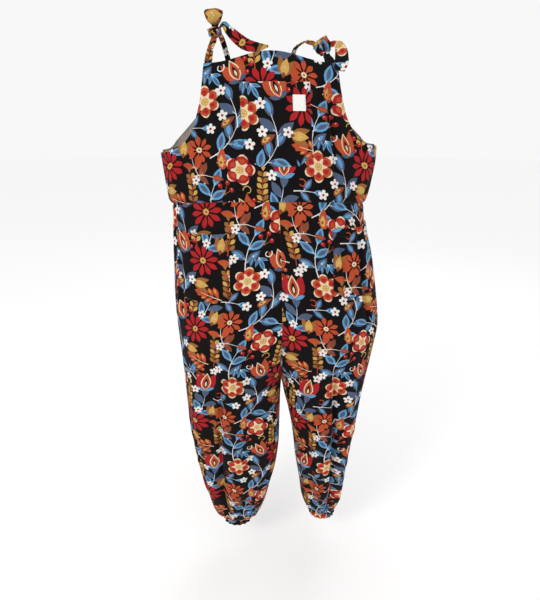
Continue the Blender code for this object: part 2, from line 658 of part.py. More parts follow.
def main():
    clear_scene()
    garment = bpy.data.collections.new("dungarees")
    bpy.context.scene.collection.children.link(garment)
    front, back = make_bodice()
    legs = make_trousers()
    pockets, label = make_pockets(front, legs)
    for sheet in (front, back, *legs.values(), *pockets):
        cloth_object(sheet, CLOTH_WALL, COTTON, garment)
    cloth_object(label, LABEL_WALL, LABEL_CLOTH, garment)
    for sheet in make_straps(front, back):
        cloth_object(sheet, STRAP_WALL, COTTON, garment)
    knot_object("knot_left", KNOT_LEFT, garment)
    knot_object("knot_right", KNOT_RIGHT, garment)


main()
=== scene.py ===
"""Looks of the tie-strap dungarees: printed cotton, ties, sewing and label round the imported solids.

Metres, in the frame's own axes: +Z up, the front faces -Y, and sides are named as the viewer
sees them.  Every cloth piece is cut flat with its print, as triangles, and then laid on the
same sections as its solid, with creases and seams pressed in.
"""
from math import cos, log, pi, radians, sin

import bpy
import numpy as np
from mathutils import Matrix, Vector
from mathutils.geometry import delaunay_2d_cdt
from mathutils.kdtree import KDTree


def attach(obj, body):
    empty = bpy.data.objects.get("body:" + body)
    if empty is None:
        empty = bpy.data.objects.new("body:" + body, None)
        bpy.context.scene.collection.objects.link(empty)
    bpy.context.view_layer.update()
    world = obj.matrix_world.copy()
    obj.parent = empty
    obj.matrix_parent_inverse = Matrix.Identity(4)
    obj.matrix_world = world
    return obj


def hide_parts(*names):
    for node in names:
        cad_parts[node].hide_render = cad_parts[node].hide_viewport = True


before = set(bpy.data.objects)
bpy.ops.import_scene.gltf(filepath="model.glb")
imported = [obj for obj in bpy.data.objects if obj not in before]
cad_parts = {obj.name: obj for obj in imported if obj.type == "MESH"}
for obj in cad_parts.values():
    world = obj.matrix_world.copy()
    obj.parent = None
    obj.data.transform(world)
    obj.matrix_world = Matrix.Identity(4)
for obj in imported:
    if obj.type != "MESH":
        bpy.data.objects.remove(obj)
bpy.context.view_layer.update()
ROOT = "root"

# ---------------------------------------------------------------- driving dimensions
CLOTH = 0.0009  # thickness of the cotton that shows
STRAP_CLOTH = 0.0020  # a tie strap: two layers with their seam allowances inside
LABEL_CLOTH = 0.0008
SEAM_GAP = 0.00012  # each piece stops this far short of its seam line
SEAM_DIP = 0.0016  # how far the cloth dips into a seam
SEAM_REACH = 0.0036  # and how far from the seam it starts to
PUCKER = 0.0005  # small puckers that the thread draws up along a seam
PUCKER_LENGTH = 0.014
PUCKER_ROW = 0.007  # they are highest this far in from the seam
FOLD_CLEAR = 0.012  # folds die out this near to a seam
HEM_FOLD = 0.0005  # extra thickness of a turned-in hem
HEM_DEPTH = 0.010
BUTTED = 0.0008  # spacing of the points that stand for a seam line
FOLD_FADES = (0.25, 0.12)  # shares of a fold's length over which it starts and ends

MESH_SIZE = 0.0052  # spacing of the even points in a large piece
PATCH_MESH = 0.0045  # the same in pockets
FINE_MESH = 0.0034  # and in straps and knots
LABEL_MESH = 0.002
EDGE_STEP = 0.0045  # spacing of points along a piece's cut edge
FIRST_ROW = 0.0016  # a first row of points inside the edge
RIM_SHOWN = 0.0012  # breadth of the cut edge in the cloth's map
THREAD_PITCH = 0.0011  # two threads of the plain weave
SHARP = radians(55)  # edges that turn more than this look sharp

WAIST_HEIGHT = -0.342
WAIST_LIFT = 0.020
LIFT_END_HEIGHT = -0.600
CROTCH_HEIGHT = -0.815
HEM_HEIGHT = -1.345
BACK_TOP_LIFT = 0.015
LIFT_TOP_TURN = 40  # degrees
SECTION_POWER = 0.8  # 1 is an ellipse, less is squarer
FORK_START = 2.24
FORK_END = 1.5
SIDE = pi / 2  # turn of a section's side from its middle

GATHERS = 8  # gathers of the cuff across half a leg
GATHER_START = -1.170
GATHER_FULL = -1.322
GATHER_SIZE = 0.0042

STITCH_PITCH = 0.0034
THREAD = 0.00045
HEM_ROW = 0.0072  # stitching in from the armholes' and neckline's edges
WAIST_ROW = 0.0022
PATCH_ROW = 0.0018
STRAP_ROW = 0.0018
ELASTIC_ROWS = (-1.3225, -1.3345)

POCKET_WIDTH, POCKET_DEPTH = 0.142, 0.160
POCKET_CUT_WIDTH, POCKET_CUT_DEPTH = 0.030, 0.022  # its two cut-off lower corners
POCKET_HEM = 0.018
POCKET_PUFF = 0.0024  # a pocket stands off its panel by this in its middle
PATCH_LIFT = 0.0014  # and by this along its stitching
BIB_POCKET_CENTRE = 0.006  # distance round the bodice from its centre line
BIB_POCKET_TOP = -0.090
HIP_POCKET_START = 0.117  # distance round the hip from the centre seam
HIP_POCKET_TOPS = (-0.391, -0.380)
HIP_POCKET_SAG = 0.005  # droop of a hip pocket's mouth
LABEL_WIDTH, LABEL_DEPTH = 0.026, 0.030
LABEL_OFFSET = 0.047  # label's middle, right of the pocket's middle
LABEL_TOP = -0.114
LABEL_GAP = 0.0004

STRAP_SEW_IN = 0.018  # a strap runs this far down the wrong side of its panel
STRAP_HOLLOW = 0.10  # rise of a strap's middle, as a share of its width
STRAP_TURN_DOWN = 0.004  # a strap enters and leaves the panel's edge this far above and below
SEWN_CLEAR = 0.0008  # a sewn-in strap clears the panel's wrong side by this
STRAP_STEP = 0.0015  # length of one step along a strap
TUCK_IN = 0.45  # a tucked end lies this near to its knot's middle, 0 is right there
KNOT_CORE = 0.86  # size of a knot's ball under its outer turns
KNOT_GROOVE = 0.10  # depth of the ball's grooves, as a share of its size
TURN_STOPS = 13  # stops along one outer turn of a knot
TURN_SIZE = 0.96  # size of an outer turn, as a share of the knot's

PALE = (0.56, 0.53, 0.49)  # the cotton's unprinted side
PALE_SHOW = 0.26  # and how much of the print shows through it
FLOOR_RADIUS = 30
WHITE = (1.0, 1.0, 1.0)
FLOOR_HEIGHT = -1.46


# ---------------------------------------------------------------- tables
def metres(table, columns=slice(None)):
    """A table that is written in millimetres, in metres: all its columns, or only these."""
    if isinstance(table, dict):
        return {key: metres(rows, columns) for key, rows in table.items()}
    table = np.array(table, float)
    table[:, columns] /= 1000
    return table


# Bodice sections: height, centre x, left reach, right reach, front depth, back depth
BODICE_SECTIONS = metres((
    (-20, 0, 205, 205, 100, 96), (-120, 4, 232, 226, 117, 108), (-225, 10, 260, 233, 129, 115),
    (-290, 15, 259, 221, 134, 115), (-330, 18, 257, 209, 136, 113), (-342, 19, 252, 202, 136, 112),
))

# Edges of the bodice front: left height, left x, right height, right x.  An x of 300 is past the
# section's reach and means the side seam.
FRONT_EDGES = metres((
    (-342, -300, -342, 300), (-300, -300, -300, 300), (-260, -300, -255, 300),
    (-230, -300, -216, 300), (-224, -228, -209, 216), (-215.5, -204, -203, 200),
    (-205.5, -184, -193, 186), (-192, -170, -181, 174), (-174, -160, -165, 163),
    (-155, -152.5, -147, 155), (-128, -144.5, -122, 148), (-100, -140, -95, 142),
    (-75, -137, -72, 139), (-53, -134, -53, 137),
))
# The same of the bodice back
BACK_EDGES = metres((
    (-342, -300, -342, 300), (-290, -300, -285, 300), (-230, -300, -216, 300),
    (-218, -241, -206, 232), (-200, -226, -190, 217), (-180, -208, -172, 200),
    (-158, -188, -152, 181), (-132, -165, -130, 160), (-113, -146, -113, 142),
    (-100, -130, -100, 126),
))

# Centre seam of the trousers: height, x
CENTRE_SEAM = metres((
    (-342, 19), (-480, 26), (-640, 29), (-815, 31),
))
# Legs: height, outer x, front depth, back depth, centre y
LEFT_LEG = metres((
    (-342, -231, 135, 111, 0), (-458, -236, 142, 126, 0), (-591, -241, 149, 144, 0),
    (-702, -234, 146, 144, 0), (-815, -230, 128, 130, 0), (-893, -229, 118, 120, 3),
    (-994, -224, 110, 112, 10), (-1080, -214, 104, 105, 18), (-1166, -201, 97, 97, 25),
    (-1235, -186, 85, 85, 30), (-1282, -176, 73, 73, 33), (-1306, -166, 62, 62, 34),
    (-1322, -152, 48, 48, 35), (-1332, -145, 41, 41, 35), (-1345, -147, 43, 43, 35),
))
RIGHT_LEG = metres((
    (-342, 221, 135, 111, 0), (-383, 226, 138, 116, 0), (-469, 250, 143, 128, 0),
    (-591, 273, 149, 144, 0), (-640, 278, 148, 146, 0), (-702, 270, 146, 145, 2),
    (-815, 255, 132, 134, 6), (-908, 246, 122, 124, 13), (-994, 238, 116, 118, 22),
    (-1080, 231, 110, 110, 33), (-1166, 226, 100, 100, 45), (-1235, 221, 86, 86, 52),
    (-1282, 216, 72, 72, 56), (-1306, 211, 60, 60, 58), (-1322, 208, 46, 46, 60),
    (-1332, 207, 40, 40, 60), (-1345, 209, 42, 42, 60),
))
# Inseams below the crotch: height, left leg x, right leg x
INSEAMS = metres((
    (-815, 31, 31), (-850, 29, 37), (-893, 28, 47), (-960, 27, 60), (-1020, 26, 68),
    (-1095, 19, 76), (-1182, 1, 89), (-1245, -14, 98), (-1282, -26, 108), (-1306, -36, 117),
    (-1322, -52, 127), (-1332, -61, 130), (-1345, -59, 128),
))

# Folds: height of top and of bottom, turn round the section at top and at bottom in degrees (0
# faces front or back, 90 is the outer side), half width in degrees, depth (negative goes inward)
FOLDS = metres({
    "trouser_front_left": (
        (-610, -1335, 21, 24, 11, -14), (-700, -1300, 46, 52, 12, 6),
        (-780, -1290, -26, -20, 12, -8)),
    "trouser_front_right": (
        (-640, -1335, 12, 24, 11, -15), (-720, -1300, 38, 54, 12, 7),
        (-840, -1290, -42, -28, 12, -7)),
    "trouser_back_left": (
        (-640, -1335, 4, 12, 12, -13), (-820, -1290, 46, 56, 12, -8)),
    "trouser_back_right": (
        (-600, -1335, 8, 20, 12, -13), (-860, -1290, -40, -34, 12, -8)),
    "bodice_front": (
        (-45, -210, 33, 36, 5, 5), (-140, -338, -44, -52, 8, -5), (-170, -338, 46, 50, 8, -5)),
    "bodice_back": (
        (-120, -335, -32, -38, 10, -6), (-150, -335, 26, 34, 10, -6)),
}, [0, 1, 5])

# Fine creases: height and turn in degrees of one end and of the other, half width, depth (negative
# is a trough), bow to one side
CREASES = metres({
    "trouser_front_left": (
        (-650, 9, -1318, 38, 6.8, -11, 4), (-420, 66, -640, 60, 7, -6, -4),
        (-900, 52, -1290, 66, 6.5, -7, 6), (-348, 14, -470, 17, 9, -3.9, 4),
        (-348, 40, -420, 42, 7, -3, -3), (-350, 70, -500, 74, 8.5, -3.9, 4),
        (-560, 82, -720, 70, 9, -4.5, 6), (-640, 8, -790, -34, 9, -5.1, 10),
        (-720, 14, -824, -48, 8, -4.8, 10), (-848, -74, -905, -16, 8, -4.5, -8),
        (-780, 36, -900, 34, 9, -3.6, 5), (-900, 70, -1000, 58, 9.5, -4.5, 6),
        (-985, -60, -1060, -8, 9, -5.1, 8), (-1010, 76, -1100, 44, 8.5, -5.1, -6),
        (-1080, 4, -1180, 6, 8, -3.9, 4), (-1110, -66, -1190, -36, 8, -5.1, 6),
        (-1130, 62, -1230, 66, 8, -4.5, -4), (-1180, -14, -1290, -8, 7, -4.5, 3),
        (-1200, 38, -1300, 38, 6.5, -4.5, 3)),
    "trouser_front_right": (
        (-640, 11, -1318, 42, 6.8, -11.5, -4), (-372, 60, -660, 52, 7.5, -9, 4),
        (-400, 38, -560, 33, 6, -6.6, -3), (-700, 62, -1100, 70, 7, -7.5, 8),
        (-348, 12, -450, 10, 8.5, -3.6, 3), (-350, 34, -440, 36, 7, -3.3, 3),
        (-350, 66, -480, 72, 8.5, -4.2, -4), (-540, 78, -700, 66, 9, -5.1, -6),
        (-650, 4, -800, -40, 9, -5.1, -10), (-740, 18, -828, -46, 8, -4.5, -8),
        (-850, -72, -930, -10, 8, -4.8, 8), (-760, 50, -890, 44, 9.5, -4.2, 5),
        (-930, 74, -1020, 52, 9, -5.1, 6), (-1000, -64, -1070, -14, 8.5, -4.8, -8),
        (-1060, 70, -1130, 40, 8, -5.1, 5), (-1090, 0, -1200, 4, 8, -4.2, 4),
        (-1130, -60, -1210, -30, 7.5, -4.8, -5), (-1160, 62, -1260, 66, 7.5, -4.8, 4),
        (-1200, -12, -1300, -6, 6.5, -4.5, 3), (-1210, 40, -1305, 42, 6.5, -4.2, -3)),
    "bodice_front": (
        (-60, 33, -336, 41, 7, -7.8, 4), (-110, -34, -300, -44, 7, -4.8, -4),
        (-232, -78, -268, -40, 7, -4.2, 4), (-216, 74, -262, 44, 7.5, -4.5, -3),
        (-246, -60, -300, -34, 8, -3.3, 5), (-236, 60, -310, 50, 7.5, -3.9, 4),
        (-75, -31, -168, -19, 8, -3, 3), (-66, 27, -150, 25, 8.5, -5.1, -3),
        (-70, 33, -230, 34, 7, -3.9, 6), (-258, -12, -336, -17, 8.5, -3, 3),
        (-270, 8, -338, 12, 7, -2.7, -3), (-262, 26, -338, 24, 8, -3.6, 4),
        (-286, -38, -338, -36, 6, -2.7, 2), (-292, -70, -336, -62, 7, -3.3, 3),
        (-280, 74, -334, 66, 7, -3.6, -3)),
    "bodice_back": (
        (-90, 30, -330, 37, 7.5, -6.8, 4), (-120, -36, -320, -44, 7, -5.6, -4),
        (-232, -76, -270, -46, 7.5, -4.2, 4), (-220, 76, -262, 40, 7.5, -4.2, -4),
        (-120, -20, -220, -12, 9, -3.6, 5), (-125, 16, -240, 8, 9, -3.3, -5),
        (-250, -26, -338, -22, 8, -3.9, 4), (-262, 2, -338, 4, 7.5, -3, 3),
        (-240, 40, -336, 36, 8.5, -3.9, -4), (-270, -62, -338, -58, 7, -3.3, 3),
        (-276, 66, -336, 60, 7, -3.3, -3)),
    "trouser_back_left": (
        (-380, 46, -640, 52, 7, -7, 4), (-640, 5, -1316, 24, 7.5, -9, 8),
        (-350, 20, -460, 24, 8.5, -3.6, 4), (-350, 58, -470, 62, 8, -3.9, 4),
        (-600, 74, -760, 60, 9, -4.8, 6), (-660, 20, -810, -38, 9.5, -5.7, 12),
        (-760, 24, -850, -50, 9, -5.4, 10), (-870, -70, -930, 0, 8.5, -5.1, -8),
        (-960, 66, -1040, 30, 9, -5.1, 6), (-1010, -60, -1080, -6, 8.5, -5.4, 7),
        (-1080, 70, -1160, 44, 8, -5.1, -5), (-1130, -40, -1230, -26, 8, -4.5, 4),
        (-1170, 30, -1290, 34, 7, -4.5, 3)),
    "trouser_back_right": (
        (-372, 40, -660, 47, 7.2, -8, -4), (-610, 9, -1316, 30, 7.5, -9, -8),
        (-350, 16, -450, 14, 8.5, -3.6, -4), (-350, 52, -480, 58, 8, -3.9, -4),
        (-580, 70, -740, 62, 9, -4.8, -6), (-650, 24, -800, -36, 9.5, -5.7, -12),
        (-750, 28, -846, -48, 9, -5.1, -10), (-864, -68, -940, -4, 8.5, -5.1, 8),
        (-950, 68, -1030, 34, 9, -4.8, -6), (-1020, -58, -1090, -10, 8.5, -5.1, -7),
        (-1090, 66, -1170, 42, 8, -4.8, 5), (-1140, -44, -1240, -28, 8, -4.5, -4),
        (-1180, 32, -1300, 36, 7, -4.5, -3)),
}, [0, 2, 4, 5, 6])

# Straps and ties: x, y, z, width, then the direction across the band (x, y, z)
STRAPS = metres({
    "strap_front_left": (
        (-118, -29, -0.5, 13, 1, 0, 0), (-121.5, -42, -13, 13, 1, 0, 0),
        (-124, -59, -29, 14, 1, 0.1, 0), (-125, -74, -45, 16, 1, 0.2, 0)),
    "strap_front_right": (
        (116.5, -61, -34.5, 16, 1, 0.1, 0), (119.5, -70, -41.5, 19, 1, 0, 0),
        (121.5, -78.5, -48, 21, 1, -0.2, 0)),
    "strap_back_left": (
        (-110, -5, 13, 12, 1, 0.3, 0), (-107, 21, 12, 12, 1, 0.2, 0),
        (-102, 52, -4, 12, 1, 0.1, 0), (-97, 77, -29, 13, 1, 0, 0), (-95, 90.5, -60, 16, 1, 0, 0)),
    "strap_back_right": (
        (88, -37, -10, 14, 0.5, 0.6, 0.5), (80, -13, -3, 13, 0.5, 0.8, 0.3),
        (69, 16, -2, 12, 0.6, 0.8, 0.2), (56, 44, -9, 12, 0.8, 0.6, 0.1),
        (52, 70, -28, 13, 1, 0.2, 0), (60, 90.5, -56, 16, 1, 0, 0)),
    "bow_loop_left": (
        (-115, -27, 27, 13, 1, 0, 0), (-115.5, -35, 33, 27, 1, 0.1, 0),
        (-115.5, -37.5, 41.5, 37, 1, 0.1, 0), (-115.5, -30, 49, 38, 1, 0.1, 0),
        (-115.5, -17, 48.5, 35, 1, 0, 0), (-115, -10.5, 39.5, 26, 1, 0, 0),
        (-115, -16, 27.5, 13, 1, 0, 0)),
    "tie_end_left": (
        (-98.5, -30, 27.5, 11, 0.5, 0.1, 0.85), (-86, -38.5, 15, 18, 0.4, -0.1, 0.9),
        (-69, -50, -1, 22, 0.4, 0, 0.9), (-48, -64, -16, 23, 0.3, 0.2, 0.9),
        (-25, -80, -23, 17, 0.1, 0.2, 0.9), (-4, -93, -23.5, 4, 0, 0.2, 0.9)),
    "tie_end_right": (
        (134, -48, -11, 13, 0.5, 0.1, 0.85), (140, -58, -16, 19, 0.6, 0.1, 0.8),
        (143.5, -70, -26, 24, 0.85, 0.1, 0.5), (144, -84, -40, 27, 1, 0, 0.2),
        (142.5, -95, -55, 27, 1, -0.1, 0.1), (139, -99.5, -67, 20, 1, -0.1, 0)),
}, slice(4))

# Knots: centre x, y, z, then half width, half depth, half height
KNOTS = {"knot_left": np.array((-0.1155, -0.0220, 0.0135, 0.0160, 0.0140, 0.0115)),
         "knot_right": np.array((0.1100, -0.0430, -0.0165, 0.0190, 0.0150, 0.0180))}

# Their outer turns: tilt and lean in degrees, width, place up the knot, first angle and sweep in
# degrees
KNOT_TURNS = {
    "knot_left": ((12, -14, 0.0140, 0.12, 150, 250), (-10, 58, 0.0125, -0.05, 170, 235)),
    "knot_right": ((8, 30, 0.0150, -0.34, 160, 240), (-8, -34, 0.0150, 0.30, 140, 250),
                   (22, 82, 0.0135, 0.05, 190, 220)),
}

# ---------------------------------------------------------------- the cloth's printed flowers
REPEAT = (0.204, 0.250)  # the print repeats after this, across and up the cloth
PRINT_SIZE = 1.12  # size of everything on the chart below
MOTIF_REACH = 0.12  # no motif goes further than this from its middle
STEM_WIDTH = 0.0017
INKS = {
    "black": (0.0052, 0.0036, 0.0040),
    "sky": (0.102, 0.282, 0.490),
    "slate": (0.068, 0.094, 0.160),
    "rust": (0.415, 0.064, 0.024),
    "brown": (0.205, 0.054, 0.030),
    "mustard": (0.520, 0.310, 0.080),
    "ochre": (0.275, 0.110, 0.032),
    "crimson": (0.350, 0.015, 0.018),
    "cream": (0.680, 0.555, 0.360),
    "white": (0.690, 0.680, 0.650),
}


def circle(radius, count=10, x=0.0, y=0.0):
    turn = np.linspace(0, 2 * pi, count, endpoint=False)
    return np.stack((x + radius * np.cos(turn), y + radius * np.sin(turn)), 1)


def scallop(radius, lobes, waist, steps):
    """Round outline of so many petals; waist is the radius between two of them."""
    turn = np.linspace(0, 2 * pi, lobes * steps, endpoint=False)
    reach = radius * (waist + (1 - waist) * np.abs(np.cos(lobes * turn / 2)) ** 0.7)
    return np.stack((reach * np.sin(turn), reach * np.cos(turn)), 1)


def petal(start, end, width, fullest=0.5, steps=5):
    """Pointed outline along +y from start to end, widest at a share of its length."""
    way = np.linspace(0, 1, steps + 1)[1:-1]
    half = width / 2 * np.sin(pi * way ** (log(0.5) / log(fullest)))
    y = start + (end - start) * way
    right, left = np.stack((half, y), 1), np.stack((-half, y), 1)[::-1]
    return np.concatenate(([(0, start)], right, [(0, end)], left))


def strip(points, width, tip=0.35):
    """A stem: a thin band along points, tapering to its end."""
    points = np.asarray(points, float)
    tangent = np.gradient(points, axis=0)
    tangent /= np.linalg.norm(tangent, axis=1, keepdims=True)
    side = np.stack((tangent[:, 1], -tangent[:, 0]), 1)
    half = width / 2 * np.linspace(1, tip, len(points))[:, None]
    return np.concatenate((points + side * half, (points - side * half)[::-1]))


def turned(shapes, x=0.0, y=0.0, angle=0.0, size=1.0, mirror=False):
    """Shapes moved to a place and turned clockwise by an angle in degrees."""
    a = radians(angle)
    spin = np.array(((cos(a), -sin(a)), (sin(a), cos(a))))
    flip = np.array((-size if mirror else size, size))
    return [(ink, (outline * flip) @ spin + (x, y)) for ink, outline in shapes]


def ring(shapes, count):
    """Copies of shapes, all round the origin."""
    return [one for k in range(count) for one in turned(shapes, angle=360 * k / count)]


def leaf(length, width, ink, shade, vein):
    """A leaf with a smaller leaf of another ink inside it, and its stalk."""
    return [(ink, petal(0, length, width)),
            (shade, petal(0.20 * length, 0.84 * length, 0.50 * width, 0.5, 4)),
            (vein, strip([(0, -0.05 * length), (0, 0.20 * length)], 0.0010, 0.8))]


def arc(length, bend, count):
    """Points along a stem of a length that bends by so many degrees on its way up."""
    turn = np.radians(np.linspace(0, bend, count))
    step = length / (count - 1)
    x = np.concatenate(([0], np.cumsum(step * np.sin(turn[1:]))))
    y = np.concatenate(([0], np.cumsum(step * np.cos(turn[1:]))))
    return np.stack((x, y), 1), np.degrees(turn)


def sprig(length, bend, pairs, leaf_length, ink, shade, vein="white", other=None):
    """A bending white stem with leaves in pairs and one at its tip."""
    points, turns = arc(length, bend, 2 * pairs + 2)
    shapes = [("white", strip(points, STEM_WIDTH * 1.3))]
    for k in range(pairs):
        at = 2 * k + 1
        grown = leaf_length * (0.80 + 0.25 * sin(pi * (k + 0.7) / (pairs + 0.4)))
        inks = (ink, shade) if k % 2 else (other or ink, ink)
        one = leaf(grown, 0.44 * grown, *inks, vein)
        shapes += turned(one, *points[at], turns[at] + 52)
        shapes += turned(one, *(points[at] + points[at + 1]) / 2, turns[at] - 52, mirror=True)
    tip = leaf(leaf_length, 0.44 * leaf_length, ink, shade, vein)
    return shapes + turned(tip, *points[-1], turns[-1])


def ear(length, bend, grains, ink, shade):
    """An ear of grain: separate plump grains in pairs up a red stem."""
    points, turns = arc(length, bend, grains + 2)
    shapes = [("rust", strip(points, STEM_WIDTH * 0.9))]
    for k in range(grains):
        for side in (-1, 1):
            tone = shade if (2 * k + side) % 3 else ink
            grain = [(tone, petal(0.0014, 0.0165 - 0.0006 * k, 0.0084, 0.55, 6))]
            shapes += turned(grain, *points[k + 1], turns[k + 1] + 42 * side)
    return shapes + turned([(shade, petal(0, 0.0145, 0.0075))], *points[-1], turns[-1])


def daisy(radius, petals=10, ink="crimson", eye="mustard"):
    """A flower of long separate petals."""
    shapes = []
    for k in range(petals):
        one = petal(0.12 * radius, radius * (1.0, 0.93, 0.97)[k % 3], 3.25 * radius / petals, 0.66)
        shapes += turned([(ink, one)], angle=360 * k / petals)
    return shapes + [(eye, circle(0.19 * radius)), ("brown", circle(0.07 * radius, 6))]


def rosette(radius, petals, ink, heart):
    """A big open flower: round petals with a pale rim and a heart, and a pale middle."""
    one = [(ink, petal(0.20 * radius, 0.90 * radius, 4.15 * radius / petals, 0.66, 7)),
           (heart, petal(0.30 * radius, 0.72 * radius, 2.10 * radius / petals, 0.72))]
    shapes = [("cream", scallop(radius, petals, 0.56, 6))] + ring(one, petals)
    shapes += [("cream", circle(0.34 * radius, 12)), ("mustard", circle(0.25 * radius))]
    return shapes + ring([("cream", circle(0.045 * radius, 4, y=0.14 * radius))], 5)


def blossom(radius):
    return [("white", scallop(radius, 5, 0.52, 4)), ("crimson", circle(0.26 * radius, 6))]


def tulip(height, ink="crimson", sepal="sky"):
    """A closed tulip on two sepals."""
    side = [(ink, petal(0, height, 0.42 * height, 0.42))]
    shapes = turned(side, -0.06 * height, 0, -17) + turned(side, 0.06 * height, 0, 17)
    shapes += [("cream", petal(0.04 * height, 0.93 * height, 0.40 * height, 0.42)),
               ("rust", petal(0.07 * height, 0.86 * height, 0.31 * height, 0.42)),
               ("black", petal(0.16 * height, 0.66 * height, 0.17 * height, 0.45, 4)),
               ("cream", petal(0.22 * height, 0.50 * height, 0.09 * height, 0.5, 3))]
    low = [(sepal, petal(0, 0.42 * height, 0.15 * height, 0.5, 4))]
    return shapes + turned(low, 0, -0.01 * height, -62) + turned(low, 0, -0.01 * height, 62)


def bell(height):
    """A nodding bell flower with three tips."""
    side = [("ochre", petal(0, height, 0.40 * height, 0.45))]
    shapes = turned(side, angle=-21) + turned(side, angle=21)
    shapes.append(("mustard", petal(0, 0.92 * height, 0.44 * height, 0.45)))
    for k in (-1, 0, 1):
        y = (0.50 - 0.08 * abs(k)) * height
        shapes.append(("cream", circle(0.030 * height, 5, 0.07 * k * height, y)))
    return shapes + [("brown", petal(-0.08 * height, 0.24 * height, 0.20 * height, 0.5, 3))]


def drop(height, ink="rust"):
    """A curled seed drop with a dotted rim."""
    way = np.linspace(0, 2 * pi, 18, endpoint=False)
    bend = 0.22 * (1 - np.cos(way)) ** 1.3
    x = 0.30 * height * np.sin(way) * np.sin(way / 2) ** 0.9 + bend * height * 0.30
    y = 0.5 * height * (1 - np.cos(way))
    outline = np.stack((x, height - y), 1)
    core = (outline - (0.06 * height, 0.38 * height)) * 0.55 + (0.05 * height, 0.32 * height)
    shapes = [(ink, outline), ("mustard", core),
              ("brown", circle(0.07 * height, 7, 0.05 * height, 0.30 * height))]
    for k in range(6):
        a = radians(25 + 52 * k)
        shapes.append(("cream", circle(0.022 * height, 4,
                                       0.06 * height + 0.205 * height * sin(a),
                                       0.30 * height - 0.205 * height * cos(a))))
    return shapes


def berries(size, ink="crimson"):
    shapes = []
    for angle, reach in ((-34, 0.8), (0, 1.0), (32, 0.72)):
        stem, _ = arc(reach * size, angle / 3, 4)
        x, y = stem[-1]
        branch = [("ochre", strip(stem, STEM_WIDTH)), (ink, circle(0.19 * size, 9, x, y)),
                  ("cream", circle(0.045 * size, 4, x - 0.06 * size, y + 0.06 * size))]
        shapes += turned(branch, angle=angle)
    return shapes


def fan(length, spread, ink, shade):
    """Three leaves that spread by so many degrees."""
    shapes = []
    for place in (-0.5, 0.0, 0.5):
        grown = length * (1 - 0.35 * abs(place) * 2)
        shapes += turned(leaf(grown, 0.30 * grown, ink, shade, "white"), angle=spread * place)
    return shapes


def plume(length):
    """A broad feathered leaf cut into lobes."""
    shapes = []
    for k in range(4):
        lobe = length * (0.46 - 0.07 * k)
        body = [("rust", petal(0, lobe, 0.44 * lobe, 0.60)),
                ("mustard", petal(0.42 * lobe, 0.88 * lobe, 0.16 * lobe, 0.6, 3))]
        for side in (-1, 1):
            shapes += turned(body, 0, length * (0.10 + 0.20 * k), side * (50 - 6 * k))
    return shapes + [("rust", petal(0.55 * length, 1.05 * length, 0.24 * length)),
                     ("cream", strip([(0, 0), (0, 0.80 * length)], STEM_WIDTH * 1.2))]


def tendril(size, ink="mustard"):
    turn = np.linspace(0, 1.55 * pi, 12)
    reach = size * (0.5 - 0.23 * turn / turn[-1])
    points = np.stack((size * 0.5 - reach * np.cos(turn), reach * np.sin(turn)), 1)
    return [(ink, strip(points, STEM_WIDTH * 1.2, 0.7))]


# The chart: motif, x and y of its middle in millimetres, turn in degrees, then its own sizes
# and inks
CHART = (
    (sprig, 30, 115, -14, 0.070, 40, 2, 0.038, "sky", "slate", "white", "slate"),
    (sprig, 76, 219, 76, 0.074, -46, 2, 0.038, "slate", "sky", "white", "sky"),
    (sprig, 96, 28, 8, 0.048, -26, 1, 0.038, "slate", "sky"),
    (sprig, 174, 115, 44, 0.062, -34, 2, 0.036, "slate", "slate", "sky", "sky"),
    (sprig, 203, 52, -50, 0.056, 44, 2, 0.032, "rust", "rust", "cream", "brown"),
    (sprig, 30, 157, 70, 0.040, 36, 1, 0.026, "brown", "rust", "cream"),
    (sprig, 122, 200, -38, 0.044, -30, 1, 0.034, "sky", "slate", "white", "slate"),
    (ear, 134, 126, -6, 0.078, 14, 6, "ochre", "mustard"),
    (ear, 196, 8, 8, 0.070, -16, 5, "mustard", "ochre"),
    (fan, 60, 78, 150, 0.030, 90, "sky", "slate"),
    (plume, 152, 228, -74, 0.060), (bell, 189, 85, 14, 0.036), (bell, 137, 2, 98, 0.038),
    (drop, 61, 183, 16, 0.040), (drop, 80, 247, 70, 0.030, "brown"),
    (fan, 141, 208, 30, 0.026, 100, "slate", "sky"),
    (rosette, 38, 42, 0, 0.0300, 6, "rust", "crimson"), (daisy, 146, 54, 10, 0.0350),
    (rosette, 96, 160, 20, 0.0290, 5, "crimson", "rust"),
    (daisy, 18, 204, 0, 0.0280, 9, "rust", "cream"),
    (tulip, 178, 172, 6, 0.0560), (tulip, 95, 90, -24, 0.0500, "rust", "slate"),
    (berries, 64, 128, 20, 0.024), (berries, 118, 92, 80, 0.024),
    (berries, 164, 198, 120, 0.022, "rust"),
    (sprig, 20, 247, 84, 0.038, 14, 1, 0.027, "sky", "slate", "white", "slate"),
    (fan, 40, 83, 190, 0.024, 70, "slate", "sky"),
    (blossom, 69, 59, 0, 0.0105), (blossom, 70, 12, 0, 0.0105), (blossom, 4, 88, 12, 0.0100),
    (blossom, 130, 178, 0, 0.0100), (blossom, 117, 10, 20, 0.0100),
    (blossom, 153, 150, 0, 0.0105), (blossom, 46, 240, 8, 0.0105),
    (blossom, 196, 203, 8, 0.0105), (blossom, 157, 90, 8, 0.0095), (blossom, 3, 145, 8, 0.0095),
    (tendril, 104, 124, 0, 0.018), (tendril, 72, 98, 140, 0.016, "white"),
    (tendril, 6, 12, 60, 0.016, "rust"),
)


def middled(shapes):
    """Shapes with the middle of their extent at the origin."""
    every = np.concatenate([outline for _, outline in shapes])
    middle = (every.min(0) + every.max(0)) / 2
    return [(ink, outline - middle) for ink, outline in shapes]


def area_of(outline):
    x, y = outline[:, 0], outline[:, 1]
    return 0.5 * float(np.sum(x * np.roll(y, -1) - np.roll(x, -1) * y))


def anticlockwise(outline):
    return outline if area_of(outline) > 0 else outline[::-1]


